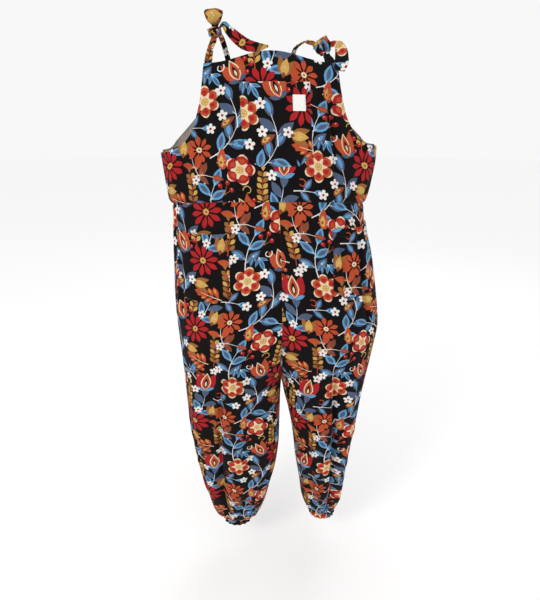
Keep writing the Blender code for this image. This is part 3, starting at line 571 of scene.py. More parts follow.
def printed(low, high, offset):
    """Every outline of the print that reaches into a rectangle of cloth, in painting order."""
    found = []
    width, height = REPEAT[0] * PRINT_SIZE, REPEAT[1] * PRINT_SIZE
    drawn = [(np.array((x, y)) / 1000 * PRINT_SIZE,
              turned(middled(turned(motif(*own), angle=angle)), size=PRINT_SIZE))
             for motif, x, y, angle, *own in CHART]
    first = np.floor((low - offset) / (width, height)).astype(int) - (1, 2)
    last = np.ceil((high - offset) / (width, height)).astype(int) + 1
    for i in range(first[0], last[0]):
        fall = 0.5 * height * (i % 2)
        for j in range(first[1], last[1]):
            corner = np.array((offset[0] + i * width, offset[1] + j * height + fall))
            for place, shapes in drawn:
                middle = corner + place
                if np.any(middle <= low - MOTIF_REACH) or np.any(middle >= high + MOTIF_REACH):
                    continue
                for ink, outline in turned(shapes, *middle):
                    if np.all(outline.max(0) >= low) and np.all(outline.min(0) <= high):
                        found.append((ink, anticlockwise(outline)))
    return found


# ---------------------------------------------------------------- curves
def hermite(xs, ys, slopes, x):
    """Curve through points with given slopes."""
    i = np.clip(np.searchsorted(xs, x, side="right") - 1, 0, len(xs) - 2)
    step = xs[i + 1] - xs[i]
    t = (x - xs[i]) / step
    return ((2 * t**3 - 3 * t**2 + 1) * ys[i] + (t**3 - 2 * t**2 + t) * step * slopes[i]
            + (3 * t**2 - 2 * t**3) * ys[i + 1] + (t**3 - t**2) * step * slopes[i + 1])


def smooth(xs, ys, x):
    """Curve through the points of a table that never overshoots them."""
    order = np.argsort(xs)
    xs, ys = xs[order], ys[order]
    slope = np.diff(ys) / np.diff(xs)
    before, after = slope[:-1], slope[1:]
    same_way = before * after > 0
    mean = np.zeros(len(before))
    mean[same_way] = 2 * before[same_way] * after[same_way] / (before + after)[same_way]
    slopes = np.concatenate((slope[:1], mean, slope[-1:]))
    return hermite(xs, ys, slopes, np.clip(np.asarray(x, float), xs[0], xs[-1]))


def read(table, index, height):
    return smooth(table[:, 0], table[:, index], height)


def ease(t):
    t = np.clip(t, 0.0, 1.0)
    return t * t * (3 - 2 * t)


def unit(vectors):
    return vectors / np.maximum(np.linalg.norm(vectors, axis=-1, keepdims=True), 1e-12)


def lengths(points):
    """Distance along a line of each of its points."""
    return np.concatenate(([0], np.cumsum(np.linalg.norm(np.diff(points, axis=0), axis=1))))


def along(s, span, values):
    """Values at distances s along a line whose points lie at the distances in span."""
    return np.stack([np.interp(s, span, one) for one in values.T], -1)


def even_points(corners, step):
    """Points every step along a polyline, with its own corners kept."""
    found = []
    for a, b in zip(corners[:-1], corners[1:]):
        count = max(1, int(round(np.linalg.norm(b - a) / step)))
        found += [a + (b - a) * k / count for k in range(count)]
    return np.array(found + [corners[-1]])


def resampled(line, step):
    """A polyline with its points evenly spaced, both ends kept."""
    span = lengths(line)
    return along(np.linspace(0, span[-1], max(2, int(round(span[-1] / step)) + 1)), span, line)


# ---------------------------------------------------------------- the garment's sections
def bodice_base(height, turn, edges, back):
    """Outer face of the bodice at a height and a turn (radians) from its middle."""
    up = np.clip((height - WAIST_HEIGHT) / (edges[-1, 0] - WAIST_HEIGHT), 0, 1)
    reach = np.where(turn < 0, read(BODICE_SECTIONS, 2, height), read(BODICE_SECTIONS, 3, height))
    depth = read(BODICE_SECTIONS, 5 if back else 4, height)
    bulge = depth * np.maximum(np.cos(turn), 0) ** SECTION_POWER + SEAM_GAP
    share = np.clip(np.abs(np.degrees(turn)) / (90 + (LIFT_TOP_TURN - 90) * up), 0, 1)
    arch = np.cos(pi / 2 * share) ** (1 + 2 * up)
    x = read(BODICE_SECTIONS, 1, height) + reach * np.sin(turn)
    z = height + (BACK_TOP_LIFT * up if back else WAIST_LIFT) * arch
    return np.stack((x, bulge if back else -bulge, z), -1)


def leg_frame(height, leg, inseam):
    """Half width, middle x and first turn of a leg's section at a height."""
    outer, seam = read(leg, 1, height), read(CENTRE_SEAM, 1, height)
    fall = np.clip((height - WAIST_HEIGHT) / (CROTCH_HEIGHT - WAIST_HEIGHT), 0, 1)
    fork = 1 - (1 - fall**FORK_START) ** FORK_END
    inner = read(INSEAMS, inseam, height)
    above = height > CROTCH_HEIGHT
    half = np.where(above, (outer - seam) / (1 + fork), (outer - inner) / 2)
    centre = np.where(above, seam + fork * half, (outer + inner) / 2)
    return half, centre, np.where(above, -np.arcsin(np.clip(fork, 0, 1)), -SIDE)


def leg_base(height, turn, leg, inseam, side, back):
    """Outer face of a leg's front or back at a height and a turn from its middle."""
    half, centre, _ = leg_frame(height, leg, inseam)
    round_it = np.maximum(np.cos(turn), 0)
    bulge = read(leg, 3 if back else 2, height) * round_it ** SECTION_POWER + SEAM_GAP
    fade = ease((height - LIFT_END_HEIGHT) / (WAIST_HEIGHT - LIFT_END_HEIGHT))
    lift = 0 if back else WAIST_LIFT * fade * round_it
    x = centre + half * np.sin(turn) + side * SEAM_GAP
    return np.stack((x, read(leg, 4, height) + (bulge if back else -bulge), height + lift), -1)


def cuff_wave(height, turn):
    """Gathers over the cuff's elastic, low at both seams."""
    share = np.clip(turn / pi + 0.5, 0, 1)
    inside = 4 * share * (1 - share)
    grown = ease((GATHER_START - height) / (GATHER_START - GATHER_FULL))
    calmed = 1 - 0.35 * ease((GATHER_FULL - height) / 0.020)
    uneven = 1 + 0.40 * np.sin(36.8 * share) * inside
    round_it = -np.cos(2 * pi * GATHERS * share) * uneven
    fine = (np.sin(2 * pi * 1.7 * GATHERS * share + 9 * height)
            * (0.6 + 0.4 * np.sin(23 * share)))
    return GATHER_SIZE * grown * calmed * (0.62 * round_it + 0.16 * fine * inside)


# ---------------------------------------------------------------- a panel: flat cloth to its place
def between(table, i, a, j, b):
    """A table's value at a share a past row i and a share b past column j."""
    low = table[i, j] * (1 - b) + table[i, j + 1] * b
    high = table[i + 1, j] * (1 - b) + table[i + 1, j + 1] * b
    return low * (1 - a) + high * a


class Panel:
    """One cut piece.  u runs across the cloth and w up it, in metres, from the grain line's top.

    sense is 1 where the section's turn runs along u, and -1 where it runs against it.
    """

    ROWS = 240
    COLUMNS = 181
    SHARES = 600

    def __init__(self, name, base, top, bottom, first_turn, grain, sense, wave=None):
        self.name, self.base, self.sense, self.wave = name, base, sense, wave
        self.first_turn = first_turn
        self.heights = np.linspace(top, bottom, self.ROWS)
        self.turns = SIDE * np.sin(SIDE * np.linspace(-1, 1, self.COLUMNS))
        points = base(*np.meshgrid(self.heights, self.turns, indexing="ij"))
        run = np.linalg.norm(np.diff(points, axis=1), axis=2)
        run = np.concatenate((np.zeros((self.ROWS, 1)), np.cumsum(run, 1)), 1)
        middle = np.array([np.interp(grain, self.turns, row) for row in run])
        self.across = sense * (run - middle[:, None])
        self.down = lengths(base(self.heights, np.full(self.ROWS, grain)))
        self.first, self.last = self.across.min(1), self.across.max(1)
        self.inverse = np.array([
            np.interp(np.linspace(row.min(), row.max(), self.SHARES), row[::sense],
                      self.turns[::sense]) for row in self.across])

    def row(self, height):
        """The row over a height, and the share of the way down to the next."""
        i = np.clip(np.searchsorted(-self.heights, -height, "right") - 1, 0, self.ROWS - 2)
        return i, (self.heights[i] - height) / (self.heights[i] - self.heights[i + 1])

    def drop(self, height):
        return -np.interp(-height, -self.heights, self.down)

    def flat(self, height, turn):
        """Cloth coordinates of a height and turn."""
        height, turn = np.broadcast_arrays(np.asarray(height, float), np.asarray(turn, float))
        j = np.clip(np.searchsorted(self.turns, turn, "right") - 1, 0, self.COLUMNS - 2)
        b = (turn - self.turns[j]) / (self.turns[j + 1] - self.turns[j])
        return np.stack((between(self.across, *self.row(height), j, b), self.drop(height)), -1)

    def where(self, flat):
        """Height and turn of a place on the cloth."""
        height = np.interp(-flat[..., 1], self.down, self.heights)
        i, a = self.row(height)
        first = self.first[i] * (1 - a) + self.first[i + 1] * a
        last = self.last[i] * (1 - a) + self.last[i + 1] * a
        k = (flat[..., 0] - first) / (last - first) * (self.SHARES - 1)
        j = np.clip(np.floor(k).astype(int), 0, self.SHARES - 2)
        return height, between(self.inverse, i, a, j, np.clip(k - j, 0, 1))

    def level(self, distance, z, from_seam):
        """Place at a distance round the panel from its middle or its first seam, at a true z."""
        height = np.array(z, float)
        for _ in range(4):
            start = self.first_turn(height) if from_seam else np.zeros_like(height)
            across = self.flat(height, start)[..., 0] + self.sense * distance
            flat = np.stack((across, self.drop(height)), -1)
            height = height + z - self.base(height, self.where(flat)[1])[..., 2]
        return flat

    def normals(self, height, turn):
        """Outward normals, which stay in a seam's plane along it."""
        dh, dt = 0.0008, 0.004
        up, low = np.minimum(turn + dt, SIDE), np.maximum(turn - dt, -SIDE)
        across = (self.base(height, up) - self.base(height, low)) * self.sense
        rise = self.base(height + dh, turn) - self.base(height - dh, turn)
        normal = np.cross(across, rise)
        edge = np.abs(turn) > radians(89.6)
        normal[..., 1] = np.where(edge, 0, normal[..., 1])
        seam = np.abs(turn - self.first_turn(height)) < dt
        normal[..., 0] = np.where(seam & ~edge, 0, normal[..., 0])
        return unit(normal)

    def relief(self, height, turn, flat):
        """How far the worn cloth stands off its plain section: folds, creases, gathers, seams."""
        move = np.zeros(height.shape)
        degrees = np.degrees(turn)
        for top, bottom, place_top, place_bottom, half, depth in FOLDS[self.name]:
            way = np.clip((top - height) / (top - bottom), 0, 1)
            place = place_top + (place_bottom - place_top) * way
            ends = ease(way / FOLD_FADES[0]) * ease((1 - way) / FOLD_FADES[1])
            move += depth * ends * np.exp(-((degrees - place) / half) ** 2)
        for top, turn_top, bottom, turn_bottom, *shape in CREASES[self.name]:
            start, end = (self.flat(h, radians(t))
                          for h, t in ((top, turn_top), (bottom, turn_bottom)))
            move += crease(flat, start, end, *shape)
        to_seam, to_hem = (distances(flat.reshape(-1, 2), tree).reshape(flat.shape[:-1])
                           for tree in (self.seams, self.hems))
        move *= ease(to_seam / FOLD_CLEAR)
        if self.wave is not None:
            move += self.wave(height, turn)
        place = flat[..., 1] + 0.7 * flat[..., 0]
        draw = np.sin(2 * pi * place / PUCKER_LENGTH + 2.1 * np.sin(place / 0.05))
        move += PUCKER * draw * np.exp(-((to_seam - PUCKER_ROW) / 0.006) ** 2)
        move -= SEAM_DIP * np.exp(-(to_seam / SEAM_REACH) ** 2)
        return move + HEM_FOLD * ease(to_hem / 0.0015) * (1 - ease((to_hem - HEM_DEPTH) / 0.002))

    def surface(self, flat):
        """Outer face of the worn cloth and its normals at places on the cloth."""
        height, turn = self.where(flat)
        normal = self.normals(height, turn)
        return self.base(height, turn) + normal * self.relief(height, turn, flat)[..., None], normal

    def finish(self, lines, seams):
        """Keep the panel's edge lines, with its outline and trees of its seams and open hems."""
        self.lines = lines
        self.outline = np.concatenate([resampled(line, EDGE_STEP)[:-1] for line in lines.values()])
        dense = {key: resampled(line, BUTTED) for key, line in lines.items()}
        self.seams = tree_of([dense[key] for key in lines if key in seams])
        self.hems = tree_of([dense[key] for key in lines if key not in seams])
        return self


def crease(flat, start, end, half, depth, bend):
    """A soft trough, or a ridge, along a line on the cloth that may bow a little to one side."""
    length = np.linalg.norm(end - start)
    ahead = (end - start) / length
    off = flat - start
    way = (off @ ahead) / length
    aside = off @ np.array((ahead[1], -ahead[0])) - bend * 4 * way * (1 - way)
    ends = ease(way / 0.3) * ease((1 - way) / 0.3)
    bank = np.exp(-((aside - 1.9 * half) / (0.9 * half)) ** 2)
    return depth * ends * (np.exp(-(aside / half) ** 2) - 0.35 * bank)


def tree_of(lines):
    points = np.concatenate(lines)
    tree = KDTree(len(points))
    for i, (u, w) in enumerate(points):
        tree.insert((u, w, 0), i)
    tree.balance()
    return tree


def distances(flat, tree):
    return np.array([tree.find((u, w, 0))[2] for u, w in flat])


def bodice_edge(edges, way, side):
    """Height and turn of one of the bodice's two edges, at shares of its way up."""
    places = np.linspace(0, 1, len(edges))
    k = 0 if side < 0 else 2
    height, x = smooth(places, edges[:, k], way), smooth(places, edges[:, k + 1], way)
    reach = read(BODICE_SECTIONS, 2 if side < 0 else 3, height)
    turn = np.arcsin(np.clip(side * (x - read(BODICE_SECTIONS, 1, height)) / reach, 0, 1))
    return height, side * turn


def bodice_panel(name, edges, back):
    top = edges[-1, 0]
    panel = Panel(name, lambda h, t: bodice_base(h, t, edges, back), top + 0.006,
                  WAIST_HEIGHT - 0.002, lambda h: np.full(np.shape(h), -SIDE), 0.0,
                  -1 if back else 1)
    panel.edges, panel.back = edges, back
    way = np.linspace(0, 1, 400)
    halves = {}
    for side in (-1, 1):
        height, turn = bodice_edge(edges, way, side)
        line = panel.flat(height + SEAM_GAP * (way == 0), turn)
        corner = int(np.nonzero(np.abs(turn) > radians(89.9))[0][-1])
        halves[side] = (line[:corner + 1], line[corner:])
    turns = np.linspace(bodice_edge(edges, 1.0, -1)[1], bodice_edge(edges, 1.0, 1)[1], 200)
    return panel.finish({
        "side_left": halves[-1][0], "armhole_left": halves[-1][1],
        "top": panel.flat(np.full(200, top), turns), "armhole_right": halves[1][1][::-1],
        "side_right": halves[1][0][::-1],
        "waist": panel.flat(np.full(300, WAIST_HEIGHT + SEAM_GAP), np.linspace(SIDE, -SIDE, 300)),
    }, ("side_left", "side_right", "waist"))


def leg_panel(name, leg, inseam, side, back):
    panel = Panel(name, lambda h, t: leg_base(h, t, leg, inseam, side, back), WAIST_HEIGHT,
                  HEM_HEIGHT, lambda h: leg_frame(h, leg, inseam)[2], radians(30),
                  -side if back else side, cuff_wave)
    start = WAIST_HEIGHT - SEAM_GAP
    above = np.linspace(CROTCH_HEIGHT, start, 400)
    return panel.finish({
        "waist": panel.flat(np.full(200, start), np.linspace(0, SIDE, 200)),
        "outer": panel.flat(np.linspace(start, HEM_HEIGHT, 800), np.full(800, SIDE)),
        "cuff": panel.flat(np.full(200, HEM_HEIGHT), np.linspace(SIDE, -SIDE, 200)),
        "inseam": panel.flat(np.linspace(HEM_HEIGHT, CROTCH_HEIGHT, 500), np.full(500, -SIDE)),
        "centre": panel.flat(above, panel.first_turn(above)),
    }, ("waist", "outer", "inseam", "centre"))


# ---------------------------------------------------------------- cutting and laying the cloth
def placed(name, data):
    """A new object in the scene."""
    made = bpy.data.objects.new(name, data)
    bpy.context.scene.collection.objects.link(made)
    return made


def inset(outline, distance):
    """Points a little inside an outline that runs anticlockwise."""
    ahead, behind = np.roll(outline, -1, 0) - outline, outline - np.roll(outline, 1, 0)
    way = unit(unit(ahead) + unit(behind))
    return outline + np.stack((-way[:, 1], way[:, 0]), -1) * distance


def cut(outline, offset, spacing, rows):
    """Triangles of one flat printed piece, with the ink of each."""
    low, high = outline.min(0), outline.max(0)
    shapes = printed(low, high, offset)
    coords = [tuple(p) for p in outline]
    faces = [list(range(len(outline)))]
    for _, shape in shapes:
        faces.append(list(range(len(coords), len(coords) + len(shape))))
        coords += [tuple(p) for p in shape]
    for k, w in enumerate(np.arange(low[1] + spacing / 2, high[1], spacing * 0.866)):
        start = low[0] + spacing * (0.25 + 0.5 * (k % 2))
        coords += [(u, w) for u in np.arange(start, high[0], spacing)]
    coords += [tuple(p) for distance in rows for p in inset(outline, distance)]
    points, _, triangles, _, _, owners = delaunay_2d_cdt(
        [Vector(p) for p in coords], [], faces, 0, 1e-6, True)
    kept = [(tri, max(owner)) for tri, owner in zip(triangles, owners) if 0 in owner]
    inks = np.array([INKS[shapes[top - 1][0] if top else "black"] for _, top in kept])
    used, tris = np.unique(np.array([tri for tri, _ in kept]), return_inverse=True)
    flat = np.array([tuple(p) for p in points])[used]
    tris = tris.reshape(-1, 3)
    a, b, c = flat[tris[:, 0]], flat[tris[:, 1]], flat[tris[:, 2]]
    turn = (b - a)[:, 0] * (c - a)[:, 1] - (b - a)[:, 1] * (c - a)[:, 0]
    tris[turn < 0] = tris[turn < 0][:, ::-1]
    return flat, tris, inks


def rim_of(tris):
    """Edges that only one triangle has, in its own direction."""
    edges = np.concatenate((tris[:, (0, 1)], tris[:, (1, 2)], tris[:, (2, 0)]))
    ahead = {tuple(e) for e in edges}
    return np.array([e for e in edges if (e[1], e[0]) not in ahead])


def shell(name, flat, tris, inks, outer, inner, materials, pale_rim=None):
    """A thin closed piece of cloth from its flat triangles and the two faces they lie on."""
    count = len(flat)
    rim = rim_of(tris)
    quads = np.stack((rim[:, 1], rim[:, 0], rim[:, 0] + count, rim[:, 1] + count), 1)
    mesh = bpy.data.meshes.new(name)
    mesh.vertices.add(2 * count)
    mesh.vertices.foreach_set("co", np.concatenate((outer, inner)).ravel())
    loops = np.concatenate((tris.ravel(), (tris[:, ::-1] + count).ravel(), quads.ravel()))
    mesh.loops.add(len(loops))
    mesh.loops.foreach_set("vertex_index", loops)
    sizes = np.concatenate((np.full(2 * len(tris), 3), np.full(len(quads), 4)))
    mesh.polygons.add(len(sizes))
    mesh.polygons.foreach_set("loop_start", np.concatenate(([0], np.cumsum(sizes)[:-1])))
    rim_kinds = np.zeros(len(quads)) if pale_rim is None else pale_rim(flat[rim].mean(1))
    kinds = np.concatenate((np.zeros(len(tris)), np.ones(len(tris)), rim_kinds))
    mesh.polygons.foreach_set("material_index", kinds.astype(np.int32))
    mesh.update(calc_edges=True)
    owner = np.zeros(count, int)
    owner[tris.ravel()] = np.repeat(np.arange(len(tris)), 3)
    values = np.concatenate((np.repeat(inks, 3, 0), np.repeat(inks, 3, 0),
                             np.repeat(inks[owner[rim[:, 0]]], 4, 0)))
    colour = mesh.color_attributes.new("print", "FLOAT_COLOR", "CORNER")
    colour.data.foreach_set("color", np.column_stack((values, np.ones(len(values)))).ravel())
    thread_map(mesh, flat, tris, rim)
    for material in materials:
        mesh.materials.append(material)
    mesh.shade_smooth()
    mesh.set_sharp_from_angle(angle=SHARP)
    piece = placed(name, mesh)
    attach(piece, ROOT)
    return piece


def thread_map(mesh, flat, tris, rim):
    """Two maps: the cloth's own metres for its weave, and one in 0 to 1 with no face on another."""
    low, high = flat.min(0), flat.max(0)
    size = max(2 * (high[0] - low[0]) + 0.05, high[1] - low[1] + 0.03)
    place = flat - low + (0.01, 0.01)
    other = place + (high[0] - low[0] + 0.025, 0)
    run = flat[rim[:, 1]] - flat[rim[:, 0]]
    way = unit(np.stack((run[:, 1], -run[:, 0]), -1)) * RIM_SHOWN
    first, last = place[rim[:, 0]], place[rim[:, 1]]
    strips = np.stack((last, first, first + way, last + way), 1).reshape(-1, 2)
    map_01 = np.concatenate((place[tris.ravel()], other[tris[:, ::-1].ravel()], strips)) / size
    threads = flat[np.concatenate((tris.ravel(), tris[:, ::-1].ravel(),
                                   rim[:, [1, 0, 0, 1]].ravel()))]
    mesh.uv_layers.new(name="threads").data.foreach_set("uv", threads.ravel())
    mesh.uv_layers.new(name="OFBake").data.foreach_set("uv", map_01.ravel())


def clothe(name, node, outline, offset, spacing, rows, faces, wrong=None,
           pale_rim=None):
    """A piece of printed cloth: cut flat and laid on its two faces, its imported part hidden if
    named.
    """
    flat, tris, inks = cut(outline, offset, spacing, rows)
    piece = shell(name, flat, tris, inks, *faces(flat), (cotton, wrong or cotton), pale_rim)
    if node:
        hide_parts(node)


def backed(surface, thickness):
    """Both faces of a cloth from its outer face."""
    def faces(flat):
        outer, normal = surface(flat)
        return outer, outer - normal * thickness
    return faces


# ---------------------------------------------------------------- patches, bands and balls
class Patch:
    """A piece sewn on a panel: its own flat cloth, laid on the panel's worn face."""

    def __init__(self, panel, middle, top, from_seam, sag):
        self.panel, self.middle, self.top = panel, middle, top
        self.from_seam, self.sag = from_seam, sag

    def surface(self, flat):
        share = np.clip((flat[..., 0] + POCKET_WIDTH / 2) / POCKET_WIDTH, 0, 1)
        down = -flat[..., 1] / POCKET_DEPTH
        dip = self.sag * (1 - down) * np.sin(pi * share)
        distance = self.middle + self.panel.sense * flat[..., 0]
        place = self.panel.level(distance, self.top + flat[..., 1] - dip, self.from_seam)
        point, normal = self.panel.surface(place)
        full = np.clip(4 * share * (1 - share), 0, 1) ** 0.7
        rise = (PATCH_LIFT + POCKET_PUFF * full * (1 - 0.55 * down)
                * np.clip((1 - down) / 0.15, 0, 1) ** 0.5)
        rise += 0.0004 * full * np.sin(46 * flat[..., 0] + 31 * flat[..., 1])
        rise += HEM_FOLD * (1 - ease((down * POCKET_DEPTH - POCKET_HEM) / 0.0015))
        return point + normal * rise[..., None], normal


class Band:
    """A tie strap along its route, a little hollow across and thinner at its two edges."""

    def __init__(self, stops):
        span = lengths(stops[:, :3])
        self.length = span[-1]
        self.along = np.linspace(0, self.length, max(12, int(self.length / STRAP_STEP)))
        values = np.stack([hermite(span, one, np.gradient(one, span), self.along)
                           for one in stops.T], 1)
        self.route, self.width, across = values[:, :3], values[:, 3], values[:, 4:]
        tangent = unit(np.gradient(self.route, axis=0))
        self.across = unit(across - tangent * np.sum(across * tangent, axis=1, keepdims=True))
        self.face = np.cross(self.across, tangent)

    def outline(self):
        s = even_points(np.array(((0, 0), (0, self.length))), FINE_MESH)[:, 1]
        half = np.interp(s, self.along, self.width) / 2
        return anticlockwise(np.concatenate((np.stack((half, -s), -1),
                                             np.stack((-half, -s), -1)[::-1])))

    def surfaces(self, flat):
        """Both faces and the normals of the first."""
        u, w = flat[:, 0], flat[:, 1]
        width = np.interp(-w, self.along, self.width)
        c = np.clip(2 * u / width, -1, 1)
        face = unit(along(-w, self.along, self.face))
        across = unit(along(-w, self.along, self.across))
        roll = STRAP_HOLLOW * width * (1 - c**2)
        roll += 0.0005 * np.sin(c * 5.1 + w * 160) * (1 - c**4) + 0.0004 * np.sin(w * 420 + 2 * c)
        thick = STRAP_CLOTH * (0.35 + 0.65 * np.sqrt(np.clip(1 - c**4, 0, 1)))
        middle = along(-w, self.along, self.route) + across * u[:, None]
        outer = middle + face * (roll + (STRAP_CLOTH - thick) / 2)[:, None]
        return outer, outer + face * thick[:, None], -face


def lay_band(name, stops, offset, node):
    band = Band(stops)
    clothe(name, node, band.outline(), offset, FINE_MESH, (), lambda flat: band.surfaces(flat)[:2])
    return band


def tucked(stops, knot, last=False):
    """A strap's stops with one more, inside the knot that it comes out of."""
    more = stops[-1 if last else 0].copy()
    more[:3] = knot[:3] + (more[:3] - knot[:3]) * TUCK_IN
    more[3] *= 0.8
    return np.vstack((stops, more) if last else (more, stops))


def sewn_in(stops, panel, place):
    """A strap's stops, carried on down the wrong side of a panel from its top edge."""
    width = stops[-1][3]
    clear = CLOTH + SEWN_CLEAR + (STRAP_CLOTH + STRAP_HOLLOW * width if panel.back else 0)
    more = []
    for drop in (-STRAP_TURN_DOWN, STRAP_TURN_DOWN, STRAP_SEW_IN):
        flat = panel.flat(*bib_point(panel, 2 * place - 1, max(drop, 0.0)))
        (point, side), normal = panel.surface(np.stack((flat, flat + (0.004, 0))))
        inside = point - normal[0] * clear
        inside[2] -= min(drop, 0)
        more.append((*inside, width, *unit(side - point) * panel.sense))
    return np.vstack((stops, more))


def bib_point(panel, share, drop):
    """Height and turn at a share of the bodice's width, a drop below its top edge."""
    middle = panel.edges[-1, 0] - drop
    way = 1 - drop / (panel.edges[-1, 0] - WAIST_HEIGHT)
    edge_height, edge_turn = bodice_edge(panel.edges, way, -1 if share < 0 else 1)
    calm = radians(36)
    turn = share * (calm + (abs(float(edge_turn)) - calm) * share**2)
    return middle + (float(edge_height) - middle) * abs(share) ** 3, turn


def knot_core(node, size, offset):
    """The pulled-tight ball under a knot's outer turns."""
    centre, halves = size[:3], size[3:]
    radius = sum(halves) / 3
    round_it, up = 2 * pi * radius, pi * radius
    corners = np.array(((0, -up), (round_it, -up), (round_it, 0), (0, 0), (0, -up)))

    def faces(flat):
        turn = flat[:, 0] / radius
        rise = np.clip(pi / 2 + flat[:, 1] / radius, -1.45, 1.45)
        wind = np.abs(np.sin(1.5 * rise + turn)) ** 0.6 * np.cos(rise)
        way = np.stack((np.cos(rise) * np.cos(turn), np.cos(rise) * np.sin(turn),
                        np.sin(rise)), -1)
        outer = way * halves * (KNOT_CORE + KNOT_GROOVE * wind)[:, None]
        return centre + outer, centre + outer * 0.9

    clothe(node + "_core", node, even_points(corners, FINE_MESH)[:-1], offset, FINE_MESH, (),
           faces)


def wound(size, tilt, lean, width, shift, begin, sweep):
    """Stops of one turn of strap wound round a knot, its two ends tucked under."""
    a, b = radians(tilt), radians(lean)
    tip = np.array(((1, 0, 0), (0, cos(a), -sin(a)), (0, sin(a), cos(a))))
    side = np.array(((cos(b), 0, sin(b)), (0, 1, 0), (-sin(b), 0, cos(b))))
    spin = side @ tip
    stops = []
    for way in np.arange(TURN_STOPS) / (TURN_STOPS - 1):
        turn = radians(begin + sweep * way)
        tuck = 1 - 0.24 * (1 - ease(way / 0.16)) - 0.24 * (1 - ease((1 - way) / 0.16))
        ring_place = np.array((cos(turn) * tuck, sin(turn) * tuck, shift))
        place = size[:3] + (spin @ ring_place) * size[3:] * TURN_SIZE
        stops.append((*place, width, *spin[:, 2]))
    return np.array(stops)


# ---------------------------------------------------------------- sewing
class Sewing:
    """Rows of stitches, gathered into one mesh for each part of the garment."""

    # Corners of one stitch's five sides and two ends
    FACES = ((0, 3, 4, 1), (1, 4, 5, 2), (3, 6, 7, 4), (4, 7, 8, 5), (0, 2, 5, 3), (3, 5, 8, 6),
             (0, 1, 2), (6, 8, 7))

    def __init__(self, name):
        self.name, self.points, self.faces = name, [], []

    def row(self, points, normals):
        span = lengths(points)
        for k in range(int(span[-1] / STITCH_PITCH)):
            s = STITCH_PITCH * (k + np.array((0.2, 0.5, 0.86)))
            place, up = along(s, span, points), unit(along(s, span, normals))
            side = unit(np.cross(up[1], place[2] - place[0])) * THREAD / 2
            first = len(self.points)
            for at, lift, half in ((0, -0.3, 0.3), (1, 0.9, 1.0), (2, -0.3, 0.3)):
                base = place[at] + up[at] * THREAD * (lift - 0.55)
                self.points += [base - side * half, base + up[at] * THREAD * 0.7,
                                base + side * half]
            self.faces += [[first + corner for corner in face] for face in self.FACES]

    def line(self, surface, line, distance=0.0):
        """A row of stitches on a worn face, a distance in from a line on its flat cloth."""
        ahead = unit(np.gradient(line, axis=0))
        flat = line + np.stack((-ahead[:, 1], ahead[:, 0]), -1) * distance
        points, normals = surface(flat)
        self.row(points + normals * THREAD * 0.4, normals)

    def finish(self, material, slot):
        mesh = bpy.data.meshes.new(self.name)
        mesh.from_pydata([tuple(p) for p in self.points], [], self.faces)
        mesh.materials.append(material)
        mesh.shade_smooth()
        piece = placed(self.name, mesh)
        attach(piece, ROOT)


# ---------------------------------------------------------------- finishes
def add(tree, kind, *inputs, out=0, **settings):
    """A shader node's output; inputs are pairs of a socket and its value or another's output."""
    made = tree.nodes.new("ShaderNode" + kind)
    for key, value in settings.items():
        setattr(made, key, value)
    for key, value in inputs:
        if isinstance(value, bpy.types.NodeSocket):
            tree.links.new(value, made.inputs[key])
        else:
            made.inputs[key].default_value = value
    return made.outputs[out]


def ranged(tree, value, low, high):
    """A noise's middle range, spread from low to high."""
    return add(tree, "MapRange", ("Value", value), ("From Min", 0.3), ("From Max", 0.7),
               ("To Min", low), ("To Max", high))


def material(name, values):
    made = bpy.data.materials.new(name)
    made.use_nodes = True
    shader = made.node_tree.nodes["Principled BSDF"]
    for key, value in values.items():
        shader.inputs[key].default_value = value
    return made, made.node_tree, shader.inputs


def join(tree, sockets, colour, value, height, strength, distance):
    """Link a shader's colour, with its brightness, and its bump."""
    shaded = add(tree, "HueSaturation", ("Color", colour), ("Value", value))
    bump = add(tree, "Bump", ("Strength", strength), ("Distance", distance), ("Height", height))
    tree.links.new(shaded, sockets["Base Color"])
    tree.links.new(bump, sockets["Normal"])


def weave(tree):
    """Height of a plain weave from the cloth's own metres."""
    threads = add(tree, "UVMap", uv_map="threads")
    scaled = add(tree, "VectorMath", (0, threads), ("Scale", 2 * pi / THREAD_PITCH),
                 operation="SCALE")
    parts = add(tree, "SeparateXYZ", (0, scaled)).node.outputs
    waves = [add(tree, "Math", (0, parts[axis]), operation="SINE") for axis in "XY"]
    return add(tree, "Math", (0, waves[0]), (1, waves[1]), operation="MULTIPLY")


def cloth_material(name, pale=None):
    """Printed cotton.  With a pale colour it is the wrong side, where the print shows a little."""
    made, tree, sockets = material(name, {
        "Specular IOR Level": 0.08, "Sheen Weight": 0.018, "Sheen Roughness": 0.45})
    colour = add(tree, "Attribute", attribute_name="print")
    if pale is not None:
        colour = add(tree, "Mix", (0, PALE_SHOW), (6, (*pale, 1)), (7, colour), out=2,
                     data_type="RGBA")
    height = weave(tree)
    place = add(tree, "TexCoord", out="Object")
    wear = add(tree, "TexNoise", ("Vector", place), ("Scale", 26.0), ("Detail", 5.0),
               ("Roughness", 0.6))
    tone = add(tree, "Math", (0, height), (1, 0.06), (2, ranged(tree, wear, 0.90, 1.08)),
               operation="MULTIPLY_ADD")
    tree.links.new(ranged(tree, wear, 0.74, 0.90), sockets["Roughness"])
    join(tree, sockets, colour, tone, height, 0.35, 0.00012)
    return made


def plain_material(name, colour, sheen=0.0):
    """Thread or woven label: one colour with a fine mottle."""
    made, tree, sockets = material(name, {"Roughness": 0.55, "Sheen Weight": sheen})
    place = add(tree, "TexCoord", out="Object")
    mottle = add(tree, "TexNoise", ("Vector", place), ("Scale", 900.0), ("Detail", 2.0))
    join(tree, sockets, (*colour, 1), ranged(tree, mottle, 0.86, 1.06), mottle, 0.4, 0.0002)
    return made


